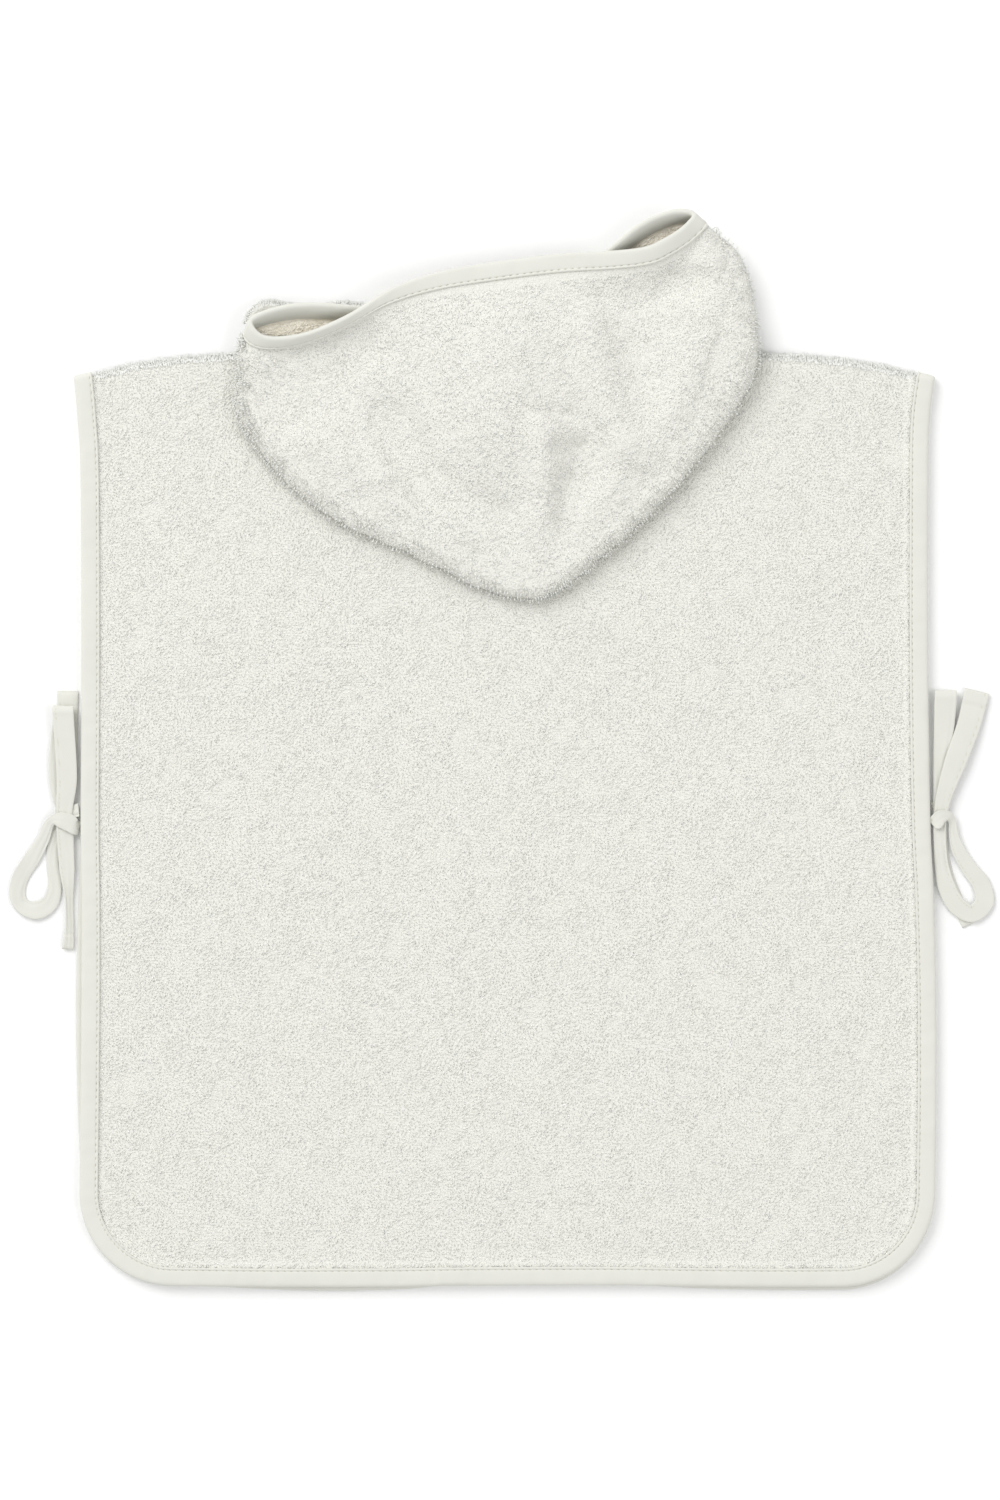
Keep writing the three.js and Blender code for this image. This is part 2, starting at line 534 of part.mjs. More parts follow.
// One column of the hood's middle surface, from the mouth to the neck
function hoodColumn(table, t) {
  const value = (read) => column(table, read, t);
  const vector = (key) => [0, 1, 2].map((k) => value((row) => row[key][k] ?? 0));
  const mouth = new THREE.Vector3(...vector('mouth'));
  const side = new THREE.Vector3(...vector('side'));
  const neck = new THREE.Vector3(...vector('neck'));
  const roll = value((row) => row.roll);
  const top = value((row) => row.top);
  const puff = value((row) => row.puff);
  const wall = value((row) => row.wall);

  const inPlan = (a, b) => new THREE.Vector2(b.x - a.x, b.y - a.y);
  const toMouth = inPlan(side, mouth);
  const toNeck = inPlan(side, neck);
  const crownLength = toMouth.length() - roll;
  toMouth.normalize();
  toNeck.normalize();
  const rollUnder = Math.min(roll, HOOD_ROLL_UNDER);

  // Underneath, the cloth lies on the back panel, and on the floor past the shoulders
  const floorLevel = wall / 2 + HOOD_FLOOR_GAP;
  const under = (x, y) => {
    const past = smooth(0, FLOOR_SLOPE, y - topEdge(x) - 1);
    return mix(neck.z, Math.min(floorLevel, neck.z), past);
  };
  const rollTop = new THREE.Vector3(side.x + toMouth.x * roll, side.y + toMouth.y * roll, top);
  const crownAt = (f) => {
    const x = mix(mouth.x, rollTop.x, f);
    const y = mix(mouth.y, rollTop.y, f);
    const share = puff * smooth(0, FOLDS_IN, f) * (1 - smooth(FOLDS_OUT, 1, f));
    return new THREE.Vector3(x, y, mix(mix(mouth.z, top, f), crownHeight(x, y), share));
  };

  // The taped band is straight, so the crown starts where it ends
  const slope = Math.hypot(crownLength, mouth.z - top);
  const bandShare = Math.min(HOOD_BAND / slope, BAND_SHARE_MOST);
  const band = crownAt(bandShare).sub(mouth).setLength(HOOD_BAND).add(mouth);
  const points = [mouth, band];
  for (let i = 1; i <= HOOD_CROWN_ROWS; i += 1) {
    const f = mix(bandShare, 1, i / HOOD_CROWN_ROWS);
    points.push(crownAt(f));
  }
  const start = points[points.length - 1];
  const endX = side.x + toNeck.x * rollUnder;
  const endY = side.y + toNeck.y * rollUnder;
  const end = new THREE.Vector3(endX, endY, under(endX, endY));
  const bend = new THREE.CubicBezierCurve3(
    start,
    new THREE.Vector3(side.x - toMouth.x * roll / 3, side.y - toMouth.y * roll / 3, start.z),
    new THREE.Vector3(side.x - toNeck.x * rollUnder / 3, side.y - toNeck.y * rollUnder / 3, end.z),
    end,
  );
  for (let i = 1; i <= HOOD_ROLL_ROWS; i += 1) points.push(bend.getPoint(i / HOOD_ROLL_ROWS));
  for (let i = 1; i <= HOOD_UNDER_ROWS; i += 1) {
    const x = mix(end.x, neck.x, i / HOOD_UNDER_ROWS);
    const y = mix(end.y, neck.y, i / HOOD_UNDER_ROWS);
    points.push(new THREE.Vector3(x, y, under(x, y)));
  }
  const thickness = points.map((_, i) => (i < 2 ? TERRY_IN_TAPE : wall));
  return { points, thickness };
}

const hoodTable = [...HOOD_LEFT, ...HOOD_RIGHT];
const hoodColumnCount = (hoodTable.length - 1) * HOOD_COLUMNS_PER_SECTION;
const hoodColumns = Array.from(
  { length: hoodColumnCount + 1 },
  (_, i) => hoodColumn(hoodTable, i / HOOD_COLUMNS_PER_SECTION),
);
const hoodCentre = (HOOD_LEFT.length - 1) * HOOD_COLUMNS_PER_SECTION;

// The direction out of the hood's cloth at column i, row j
function hoodNormal(i, j) {
  const at = (a, b) => hoodColumns[THREE.MathUtils.clamp(a, 0, hoodColumnCount)].points[
    THREE.MathUtils.clamp(b, 0, hoodColumns[0].points.length - 1)];
  const across = at(i + 1, j).clone().sub(at(i - 1, j));
  const down = at(i, j + 1).clone().sub(at(i, j - 1));
  return across.cross(down).normalize().negate();
}

// One half of the hood: its columns as a wall, a little short of the centre seam
function hoodHalf(first, last, seamShift) {
  const rows = hoodColumns[0].points.length;
  const width = last - first + 1;
  const sides = [1, -1].map((sign) => {
    const points = [];
    for (let i = first; i <= last; i += 1) {
      for (let j = 0; j < rows; j += 1) {
        const { points: middle, thickness } = hoodColumns[i];
        const point = middle[j].clone().addScaledVector(hoodNormal(i, j), sign * thickness[j] / 2);
        if (i === hoodCentre) point.x += seamShift;
        points.push(point.toArray());
      }
    }
    return points;
  });
  const count = width * rows;
  const faces = [];
  const number = (i, j, side) => i * rows + j + side * count;
  const quad = (a, b, c, d) => faces.push([a, b, c], [a, c, d]);
  for (let i = 0; i + 1 < width; i += 1) {
    for (let j = 0; j + 1 < rows; j += 1) {
      quad(number(i, j, 0), number(i, j + 1, 0), number(i + 1, j + 1, 0), number(i + 1, j, 0));
      quad(number(i, j, 1), number(i + 1, j, 1), number(i + 1, j + 1, 1), number(i, j + 1, 1));
    }
    quad(number(i, 0, 0), number(i + 1, 0, 0), number(i + 1, 0, 1), number(i, 0, 1));
    const last = rows - 1;
    quad(number(i, last, 0), number(i, last, 1), number(i + 1, last, 1), number(i + 1, last, 0));
  }
  for (let j = 0; j + 1 < rows; j += 1) {
    quad(number(0, j, 0), number(0, j, 1), number(0, j + 1, 1), number(0, j + 1, 0));
    const end = width - 1;
    quad(number(end, j, 0), number(end, j + 1, 0), number(end, j + 1, 1), number(end, j, 1));
  }
  return closedBody([...sides[0], ...sides[1]], faces);
}

// The tape round the mouth, one section at each column of the hood
function hoodBinding() {
  const stations = hoodColumns.map(({ points }, i) => {
    const into = points[1].clone().sub(points[0]).normalize();
    const normal = hoodNormal(i, 0);
    const up = normal.addScaledVector(into, -normal.dot(into)).normalize();
    const along = into.clone().negate();
    return { place: points[0].clone().addScaledVector(along, TAPE + GAP), along, up };
  });
  return sweep(stations, tapeSection(TAPE_WIDTH), false);
}

// A flat tie along its route
function tie(route) {
  const places = route.map(({ at }) => new THREE.Vector3(...at));
  const curve = new THREE.CatmullRomCurve3(places, false, 'centripetal');
  const steps = (route.length - 1) * TIE_STEPS_PER_POINT;
  const stations = Array.from({ length: steps + 1 }, (_, i) => {
    const t = i / TIE_STEPS_PER_POINT;
    const row = Math.min(Math.floor(t), route.length - 2);
    const tangent = curve.getTangent(i / steps);
    const across = new THREE.Vector3(...route[row].across).normalize()
      .lerp(new THREE.Vector3(...route[row + 1].across).normalize(), t - row);
    const along = across.addScaledVector(tangent, -across.dot(tangent)).normalize();
    const up = tangent.clone().cross(along);
    const scale = mix(route[row].width, route[row + 1].width, t - row);
    return { place: curve.getPoint(i / steps), along, up, scale };
  });
  const half = TIE_THICKNESS / 2;
  const flat = 0.47;
  const section = [[0.5, 0], [flat, half], [-flat, half], [-0.5, 0], [-flat, -half], [flat, -half]];
  for (const { place, along, up, scale } of stations) {
    const lowest = place.z - Math.abs(along.z) * scale / 2 - Math.abs(up.z) * half;
    place.z += Math.max(0, TIE_CLEARANCE - lowest);
  }
  return sweep(stations, section, false);
}

const poncho = new THREE.Group();

function addPiece(name, geometry, color) {
  const mesh = new THREE.Mesh(geometry, cloth(color));
  mesh.name = name;
  poncho.add(mesh);
}

addPiece('front_panel', terryPanel('front', FRONT), CREAM_TERRY);
addPiece('back_panel', terryPanel('back', BACK), CREAM_TERRY);
addPiece('edge_binding', edgeBinding(), CREAM_TAPE);
addPiece('hood_left', hoodHalf(0, hoodCentre, -GAP / 2), CREAM_TERRY);
addPiece('hood_right', hoodHalf(hoodCentre, hoodColumnCount, GAP / 2), CREAM_TERRY);
addPiece('hood_binding', hoodBinding(), CREAM_TAPE);
for (const [name, route] of Object.entries(TIE_ROUTES)) addPiece(name, tie(route), CREAM_TAPE);

// The origin is the bottom centre of the whole box
const centre = new THREE.Box3().setFromObject(poncho).getCenter(new THREE.Vector3());
poncho.position.set(-centre.x, -centre.y, 0);

export default poncho;
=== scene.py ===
# %% [markdown]
# # A hooded bath poncho
# The real thing is a small child's bath poncho. Two panels of cotton terry are joined at the
# shoulders, a hood of two terry halves is sewn to the neck, and one smooth tape is folded over
# every open edge. Two tape ties at each side make a bow. It lies flat with its back up.
# The frame holds the same poncho as plain solids, so every piece here is drawn in the frame's
# own place, and gets finer cloth, pile, stitches and finishes.

# %% The frame and its box
import math

import bpy
import numpy as np
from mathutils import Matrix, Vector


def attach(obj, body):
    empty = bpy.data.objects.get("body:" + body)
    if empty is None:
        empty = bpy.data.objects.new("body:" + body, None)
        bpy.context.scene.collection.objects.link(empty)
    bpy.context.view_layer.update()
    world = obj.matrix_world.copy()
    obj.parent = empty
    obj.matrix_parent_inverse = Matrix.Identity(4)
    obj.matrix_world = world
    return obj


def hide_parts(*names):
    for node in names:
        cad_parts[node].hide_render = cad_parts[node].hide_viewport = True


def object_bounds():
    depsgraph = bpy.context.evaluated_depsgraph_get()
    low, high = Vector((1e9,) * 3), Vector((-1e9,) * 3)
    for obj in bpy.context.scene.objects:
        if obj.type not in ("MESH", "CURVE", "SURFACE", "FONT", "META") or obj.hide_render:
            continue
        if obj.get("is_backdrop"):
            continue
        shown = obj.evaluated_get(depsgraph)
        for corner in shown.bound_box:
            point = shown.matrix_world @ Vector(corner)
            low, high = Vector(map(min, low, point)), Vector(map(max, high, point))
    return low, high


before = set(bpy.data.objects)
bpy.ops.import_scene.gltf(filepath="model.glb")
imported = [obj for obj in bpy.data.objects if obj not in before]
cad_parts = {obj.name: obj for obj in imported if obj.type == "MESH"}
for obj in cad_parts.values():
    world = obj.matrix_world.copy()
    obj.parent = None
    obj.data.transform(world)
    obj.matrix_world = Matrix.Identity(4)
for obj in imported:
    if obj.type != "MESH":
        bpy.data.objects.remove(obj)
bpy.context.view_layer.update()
print("frame nodes:", sorted(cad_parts))

# %% [markdown]
# Cloth is measured in millimetres, and Blender works in metres. The garment is drawn round the
# middle of its waist and then moved by one fixed step, so that the frame's origin is the bottom
# centre of its box. Smooth noise is a sum of a few waves with seeded directions, so it looks
# natural and comes out the same on each run.

# %% Millimetres, smooth tables and smooth noise
MM = 0.001
GARMENT_PLACE = np.array([1.822, -40.919, 0.0])
RIM_ANGLE = math.radians(50)  # an edge sharper than this stays sharp
WAVE_COUNT = 7


def through_rows(rows, t):
    """Points on a smooth curve through a table's rows, at places t counted in rows."""
    rows = np.asarray(rows, float)
    last = len(rows) - 1
    k = np.clip(np.floor(t).astype(int), 0, last - 1)
    f = (t - k)[:, None]
    a, b, c, d = (rows[np.clip(k + step, 0, last)] for step in (-1, 0, 1, 2))
    left, right = (c - a) / 2, (d - b) / 2
    cubic, square = 2 * b - 2 * c + left + right, 3 * c - 3 * b - 2 * left - right
    return ((cubic * f + square) * f + left) * f + b


def steps_through(rows, count):
    """Even steps from the first row of a table to its last."""
    return np.linspace(0, len(rows) - 1, count)


def resampled(line, step):
    """A line of points walked in equal steps."""
    gone = np.concatenate([[0], np.cumsum(np.linalg.norm(np.diff(line, axis=0), axis=1))])
    places = np.linspace(0, gone[-1], int(round(gone[-1] / step)) + 1)
    return np.column_stack([np.interp(places, gone, column) for column in line.T])


def ease(low, high, value):
    """0 below low, 1 above high, and smooth between them."""
    t = np.clip((np.asarray(value, float) - low) / (high - low), 0, 1)
    return t * t * (3 - 2 * t)


def waves(x, y, wavelength, seed):
    """Smooth noise of about -1 to 1 whose hills are half a wavelength wide."""
    draw = np.random.default_rng(seed)
    total = 0
    for _ in range(WAVE_COUNT):
        turn, phase = draw.uniform(0, 2 * math.pi, 2)
        pace = 2 * math.pi / wavelength * draw.uniform(0.6, 1.4)
        total = total + np.sin((x * math.cos(turn) + y * math.sin(turn)) * pace + phase)
    return total / 3


def layered(x, y, rows):
    """Noise of several sizes together: the height, wavelength and seed of each."""
    return sum(height * waves(x, y, wavelength, seed) for height, wavelength, seed in rows)


def unit(vectors):
    return vectors / np.linalg.norm(vectors, axis=-1, keepdims=True)


def straight_up(count, level=1.0):
    """One upward direction for each of a number of places."""
    return np.tile([0.0, 0.0, level], (count, 1))


# %% [markdown]
# A piece of cloth is a mesh made from arrays of points and faces. One helper makes the object,
# gives it its finishes and lets it ride on the frame's one body. Other helpers give a net its
# wall, close the ends of a swept strip and turn its faces outwards.

# %% Making pieces
def new_piece(name, points, faces, finishes):
    """A mesh object from points in garment millimetres and faces of one size."""
    mesh = bpy.data.meshes.new(name)
    places = (np.asarray(points, float).reshape(-1, 3) + GARMENT_PLACE) * MM
    corners = faces.shape[1]
    mesh.vertices.add(len(places))
    mesh.vertices.foreach_set("co", places.astype(np.float32).ravel())
    mesh.loops.add(faces.size)
    mesh.loops.foreach_set("vertex_index", faces.astype(np.int32).ravel())
    mesh.polygons.add(len(faces))
    mesh.polygons.foreach_set("loop_start", np.arange(0, faces.size, corners, dtype=np.int32))
    mesh.update(calc_edges=True)
    piece = bpy.data.objects.new(name, mesh)
    bpy.context.scene.collection.objects.link(piece)
    for finish in finishes:
        mesh.materials.append(finish)
    pick(piece)
    bpy.ops.object.shade_smooth()
    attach(piece, "root")
    return piece


def pick(piece):
    """Makes one object the only one that operators act on."""
    bpy.ops.object.select_all(action="DESELECT")
    piece.select_set(True)
    bpy.context.view_layer.objects.active = piece


def give_wall(piece, thickness, inner_finish=0):
    """Thickens a net of cloth inwards from its outer face, and closes its rim."""
    wall = piece.modifiers.new("wall", "SOLIDIFY")
    wall.thickness = thickness * MM
    wall.offset = -1
    wall.material_offset = inner_finish
    pick(piece)
    bpy.ops.object.modifier_apply(modifier="wall")
    bpy.ops.object.shade_smooth_by_angle(angle=RIM_ANGLE)


def close_up(piece, ends=True):
    """Fills the open ends of a piece, where it has any, and turns its faces outwards."""
    pick(piece)
    bpy.ops.object.mode_set(mode="EDIT")
    if ends:
        bpy.ops.mesh.select_all(action="SELECT")
        bpy.ops.mesh.fill_holes(sides=0)
    bpy.ops.mesh.select_all(action="SELECT")
    bpy.ops.mesh.normals_make_consistent(inside=False)
    bpy.ops.object.mode_set(mode="OBJECT")


def mark(piece, name, values):
    """A number at each point of a piece, which its finish can read."""
    layer = piece.data.attributes.new(name, "FLOAT", "POINT")
    layer.data.foreach_set("value", np.asarray(values, np.float32).ravel())


def net_faces(columns, rows, closed=False):
    """Quads of a net of points, numbered down each column."""
    i, j = np.meshgrid(np.arange(columns - (not closed)), np.arange(rows - 1), indexing="ij")
    here, beside = i * rows + j, (i + 1) % columns * rows + j
    return np.stack([here, here + 1, beside + 1, beside], axis=-1).reshape(-1, 4)


def sweep(name, stations, sections, finish, closed=False, hole_shade_marks=None):
    """Carries sections along stations, each of which is a place, its along and its up."""
    place, along, up = stations
    count, size = sections.shape[:2]
    points = place[:, None] + along[:, None] * sections[..., :1] + up[:, None] * sections[..., 1:]
    j = np.arange(size)
    i = np.arange(count if closed else count - 1)[:, None]
    here, beside = i * size, (i + 1) % count * size
    faces = np.stack([here + j, beside + j, beside + (j + 1) % size, here + (j + 1) % size], axis=-1)
    piece = new_piece(name, points, faces.reshape(-1, 4), [finish])
    # The marks paint a warm shade into the needle and stitch holes.
    if hole_shade_marks is not None:
        mark(piece, "needle", hole_shade_marks)
    close_up(piece, ends=not closed)
    report(piece)
    return piece


def report(piece):
    piece.data.calc_loop_triangles()
    print(piece.name, len(piece.data.loop_triangles), "triangles")


# %% [markdown]
# Every finish here is cotton, so every finish is a rough dielectric with an IOR of 1.5. What
# tells them apart is the surface: loops of yarn stand up on the terry, and the tape is a fine
# jersey, whose ribs are under a millimetre. One small function adds a node with its settings
# and its links.

# %% Colours and nodes
def linear(code):
    """An sRGB hex colour as the linear colour that shaders use."""
    channels = [int(code[k:k + 2], 16) / 255 for k in (1, 3, 5)]
    return [c / 12.92 if c <= 0.04045 else ((c + 0.055) / 1.055) ** 2.4 for c in channels] + [1]


def add_node(material, kind, settings=None, links=None):
    """A node of that kind, with its settings by name or place and its inputs linked."""
    node = material.node_tree.nodes.new(kind)
    for name, value in (settings or {}).items():
        if isinstance(name, int) or name in node.inputs:
            node.inputs[name].default_value = value
        else:
            setattr(node, name, value)
    for name, socket in (links or {}).items():
        material.node_tree.links.new(socket, node.inputs[name])
    return node


def cotton(name, roughness, sheen):
    """A new cotton finish: its material and its shader."""
    material = bpy.data.materials.new(name)
    material.use_nodes = True
    shader = material.node_tree.nodes["Principled BSDF"]
    settings = {"Roughness": roughness, "IOR": 1.5, "Specular IOR Level": 0.2,
                "Sheen Weight": sheen, "Sheen Roughness": 0.6}
    for setting, value in settings.items():
        shader.inputs[setting].default_value = value
    return material, shader


# Places of the colour sockets of a Mix node
COLOR_A, COLOR_B, MIXED = 6, 7, 2


def mixed_colors(material, low, high, factor):
    """A colour between two, by a socket."""
    ends = {"data_type": "RGBA", COLOR_A: linear(low), COLOR_B: linear(high)}
    return add_node(material, "ShaderNodeMix", ends, {0: factor}).outputs[MIXED]


def object_places(material):
    return add_node(material, "ShaderNodeTexCoord").outputs["Object"]


def pattern_scale(millimetres):
    """The Scale of a noise or cell pattern whose cells are that wide."""
    return 1 / (millimetres * MM)


# %% [markdown]
# Terry pile is cotton yarn, left cream. The tips of its loops catch the light and look white, and between
# the loops the light has gone through cloth a few times, so the roots look warm. Both are painted into
# the colour: a painted highlight on the tips and a painted warm shade at the roots. Each tuft carries a
# share from root to tip, which sets how much of that painted light each point gets, and its own small
# difference in tone. The ground cloth is seen only between the tufts, where its hollows get the same
# painted shade as the roots, and the inside of the hood gets a lighter, warmer copy of these colours,
# painted light that stands in for the light coming through two layers of cloth.

# %% Terry
# Painted light: the tip colour is the lit yarn, the root colour the shaded yarn of one cream cotton.
LIT_TIP, SHADED_ROOT = "#F8F9F6", "#E8E7DF"
GROUND_LIT_TOP = "#F0EFE9"
# The inside of the hood is the same terry, lighter and warmer: painted light for the light that comes
# through the cloth.
INSIDE_LIT_TIP, INSIDE_LIT_ROOT = "#FEFAEF", "#F9F2E2"
NAP_PATCH = 45


def terry_pile(name, tip, root):
    material, shader = cotton(name, 0.9, 0.1)
    painted_tip_light = add_node(material, "ShaderNodeAttribute", {"attribute_name": "painted_tip_light"})
    shade = add_node(material, "ShaderNodeAttribute", {"attribute_name": "shade"})
    patches = add_node(material, "ShaderNodeTexNoise",
                       {"Scale": pattern_scale(NAP_PATCH), "Detail": 2.0},
                       {"Vector": object_places(material)})
    level = add_node(material, "ShaderNodeMapRange", {"To Min": 0.97, "To Max": 1.03},
                     {"Value": patches.outputs["Fac"]})
    value = add_node(material, "ShaderNodeMath", {"operation": "MULTIPLY"},
                     {0: level.outputs[0], 1: shade.outputs["Fac"]})
    # Painted light: from the shaded root colour to the lit tip colour by each point's share, times a
    # random tone.
    color = add_node(material, "ShaderNodeHueSaturation", {}, {
        "Color": mixed_colors(material, root, tip, painted_tip_light.outputs["Fac"]),
        "Value": value.outputs[0],
    })
    material.node_tree.links.new(color.outputs[0], shader.inputs["Base Color"])
    return material


# Loops of yarn 1.3 mm apart, as bumps for the places where no tuft stands, with a painted shade in the
# hollows between them
LOOP_PITCH, LOOP_HEIGHT = 1.3, 0.5


def terry_ground(name, low, high):
    material, shader = cotton(name, 0.95, 0.1)
    places = object_places(material)
    stirred = add_node(material, "ShaderNodeTexNoise", {"Scale": pattern_scale(4)}, {"Vector": places})
    bent = add_node(material, "ShaderNodeMix", {"data_type": "VECTOR", 0: 0.004},
                    {4: places, 5: stirred.outputs["Color"]})
    loops = add_node(material, "ShaderNodeTexVoronoi", {"Scale": pattern_scale(LOOP_PITCH)},
                     {"Vector": bent.outputs[1]})
    height = add_node(material, "ShaderNodeMapRange", {"From Max": 0.8, "To Min": 1.0, "To Max": 0.0},
                      {"Value": loops.outputs["Distance"]})
    bump = add_node(material, "ShaderNodeBump", {"Distance": LOOP_HEIGHT * MM, "Strength": 0.8},
                    {"Height": height.outputs[0]})
    # Painted shade: the hollows between the loops take the low colour, the tops of the loops the high
    # one.
    color = mixed_colors(material, low, high, height.outputs[0])
    material.node_tree.links.new(color, shader.inputs["Base Color"])
    material.node_tree.links.new(bump.outputs[0], shader.inputs["Normal"])
    return material


pile_finish = terry_pile("cotton terry, loop pile", LIT_TIP, SHADED_ROOT)
# A lit copy of the pile and the ground for the inside of the hood: painted light that comes through the
# cloth.
inside_pile_painted_light = terry_pile("cotton terry, pile inside the hood, painted light", INSIDE_LIT_TIP, INSIDE_LIT_ROOT)
ground_finish = terry_ground("cotton terry, ground cloth", SHADED_ROOT, GROUND_LIT_TOP)
inside_ground_painted_light = terry_ground("cotton terry, ground cloth inside the hood, painted light", INSIDE_LIT_ROOT, INSIDE_LIT_TIP)

# %% [markdown]
# The bias tape and the ties are cotton jersey, knitted so fine that its ribs show only as a soft grain.
# It is a little greyer than the pile, because it has no bright tips. The needle pulls the tape down at
# each stitch, and each hole gets a warm painted shade in its colour. The thread is mercerised cotton,
# smoother than the tape.

# %% Tape and thread
# The hole colour is a painted shade for the needle and stitch holes.
TAPE_LIGHT, TAPE_DARK, HOLE_PAINTED_SHADE = "#E3E3DB", "#DCDCD4", "#C8C0AA"
TIE_LIGHT, THREAD_LIGHT, THREAD_DARK = "#E1E1D9", "#F0EFE8", "#E2E1D8"
RIB_PITCH, RIB_HEIGHT = 0.7, 0.05


def jersey(name, light, dark):
    material, shader = cotton(name, 0.85, 0.15)
    places = object_places(material)
    cloud = add_node(material, "ShaderNodeTexNoise", {"Scale": pattern_scale(14), "Detail": 3.0},
                     {"Vector": places})
    ribs = add_node(material, "ShaderNodeTexVoronoi", {"Scale": pattern_scale(RIB_PITCH)},
                    {"Vector": places})
    bump = add_node(material, "ShaderNodeBump", {"Distance": RIB_HEIGHT * MM, "Strength": 0.7},
                    {"Height": ribs.outputs["Distance"]})
    needle = add_node(material, "ShaderNodeAttribute", {"attribute_name": "needle"})
    cloth_color = mixed_colors(material, dark, light, cloud.outputs["Fac"])
    # Painted shade where the needle and stitch holes are marked.
    ends = {"data_type": "RGBA", COLOR_B: linear(HOLE_PAINTED_SHADE)}
    color = add_node(material, "ShaderNodeMix", ends, {0: needle.outputs["Fac"], COLOR_A: cloth_color})
    material.node_tree.links.new(color.outputs[MIXED], shader.inputs["Base Color"])
    material.node_tree.links.new(bump.outputs[0], shader.inputs["Normal"])
    return material


tape_finish = jersey("cotton jersey bias tape", TAPE_LIGHT, TAPE_DARK)
tie_finish = jersey("cotton jersey tie tape", TIE_LIGHT, TAPE_DARK)


def sewing_thread():
    material, shader = cotton("mercerised cotton sewing thread", 0.6, 0.05)
    ply = add_node(material, "ShaderNodeTexNoise", {"Scale": pattern_scale(0.4)},
                   {"Vector": object_places(material)})
    color = mixed_colors(material, THREAD_DARK, THREAD_LIGHT, ply.outputs["Fac"])
    material.node_tree.links.new(color, shader.inputs["Base Color"])
    return material


thread_finish = sewing_thread()
print("finishes:", [m.name for m in bpy.data.materials if "cotton" in m.name])

# %% [markdown]
# The outline of each panel is a table of half widths down its sides and a table of heights
# along its hem, joined by rounded corners. The two panels differ by a millimetre or two, so the
# front one peeks out here and there, as cloth does when it is laid by hand.

# %% The outline of the panels
SIDES = [  # y, back left, back right, front left, front right
    (257.5, 252.9, 252.2, 252.9, 252.2), (235, 251.0, 249.4, 250.8, 249.2),
    (200, 249.3, 248.7, 248.9, 248.4), (94, 248.9, 248.6, 248.3, 248.0),
    (0, 249.3, 249.9, 249.0, 249.2), (-47, 248.8, 252.0, 250.8, 251.2),
    (-106, 248.8, 253.3, 252.2, 252.2), (-165, 249.3, 253.3, 251.2, 252.4),
    (-219, 249.9, 252.6, 248.8, 252.6),
]
HEMS = [  # x, back, front
    (-195, -273.6, -272.6), (-140, -274.2, -275.6), (-100, -274.2, -276.6), (-60, -274.0, -275.6),
    (-20, -273.4, -272.8), (60, -273.2, -272.4), (110, -273.8, -275.0), (160, -274.2, -276.2),
    (198, -274.0, -276.0),
]
LAYER_COLUMNS = {"back": (1, 2, 1), "front": (3, 4, 2)}  # of the left, the right and the hem
TABLE_STEPS = 161
NECK_HALF_WIDTH, NECK_TOP, NECK_DROP = 75.3, 273.4, 11.7
SHOULDER_DROP, SHOULDER_LENGTH, SHOULDER_TILT = 12.3, 239, 0.26
CORNER_TOP, CORNER_RADIUS, PANEL_LOW = -219, 56, -274


def top_edge(x):
    """Height of the neckline and the shoulder line at place x."""
    side = np.abs(x)
    neck = NECK_TOP - NECK_DROP * (1 - (side / NECK_HALF_WIDTH) ** 2)
    along = np.clip((side - NECK_HALF_WIDTH) / (SHOULDER_LENGTH - NECK_HALF_WIDTH), 0, 1)
    past = np.maximum(side - SHOULDER_LENGTH, 0)
    shoulder = NECK_TOP - SHOULDER_DROP * along ** 4 - past * (SHOULDER_TILT + 0.004 * past)
    return np.where(side < NECK_HALF_WIDTH, neck, shoulder)


def rounded_corner(side_end, hem_end):
    turn = np.linspace(0, math.pi / 2, 26)[1:-1, None]
    centre = np.array([hem_end[0], side_end[1]])
    return centre + np.hstack([(side_end[0] - centre[0]) * np.cos(turn),
                               (hem_end[1] - centre[1]) * np.sin(turn)])


def taped_edge(layer, step):
    """The bound edge of a panel, from its left shoulder round the hem to its right shoulder."""
    left, right, hem = LAYER_COLUMNS[layer]
    side = through_rows(SIDES, steps_through(SIDES, TABLE_STEPS))
    left_side, right_side = side[:, [left, 0]] * (-1, 1), side[::-1, [right, 0]]
    hem_line = through_rows(HEMS, steps_through(HEMS, TABLE_STEPS))[:, [0, hem]]
    line = np.vstack([
        left_side, rounded_corner(left_side[-1], hem_line[0]), hem_line,
        rounded_corner(right_side[0], hem_line[-1])[::-1], right_side,
    ])
    return resampled(line, step)


def distance_to(line, points):
    """How far each point lies from the nearest point of a line that has close points."""
    distances = np.full(len(points), np.inf)
    for start in range(0, len(line), 40):
        chunk = line[start:start + 40]
        gaps = np.linalg.norm(points[:, None, :] - chunk[None], axis=2)
        distances = np.minimum(distances, gaps.min(axis=1))
    return distances


edges = {layer: taped_edge(layer, 2.0) for layer in LAYER_COLUMNS}
print("edge of the back panel:", 2 * (len(edges["back"]) - 1), "mm")

# %% [markdown]
# A terry panel is 2.8 mm thick with its pile, and the woven ground in its middle is 1.1 mm.
# Inside the tape the pile is squeezed flat. The ground starts as a grid, which is spread to
# the outline, raised to its height at each point and given its wall. On the real one a few
# weak hollows and creases are left from folding, so a short table of them lifts and lowers it.

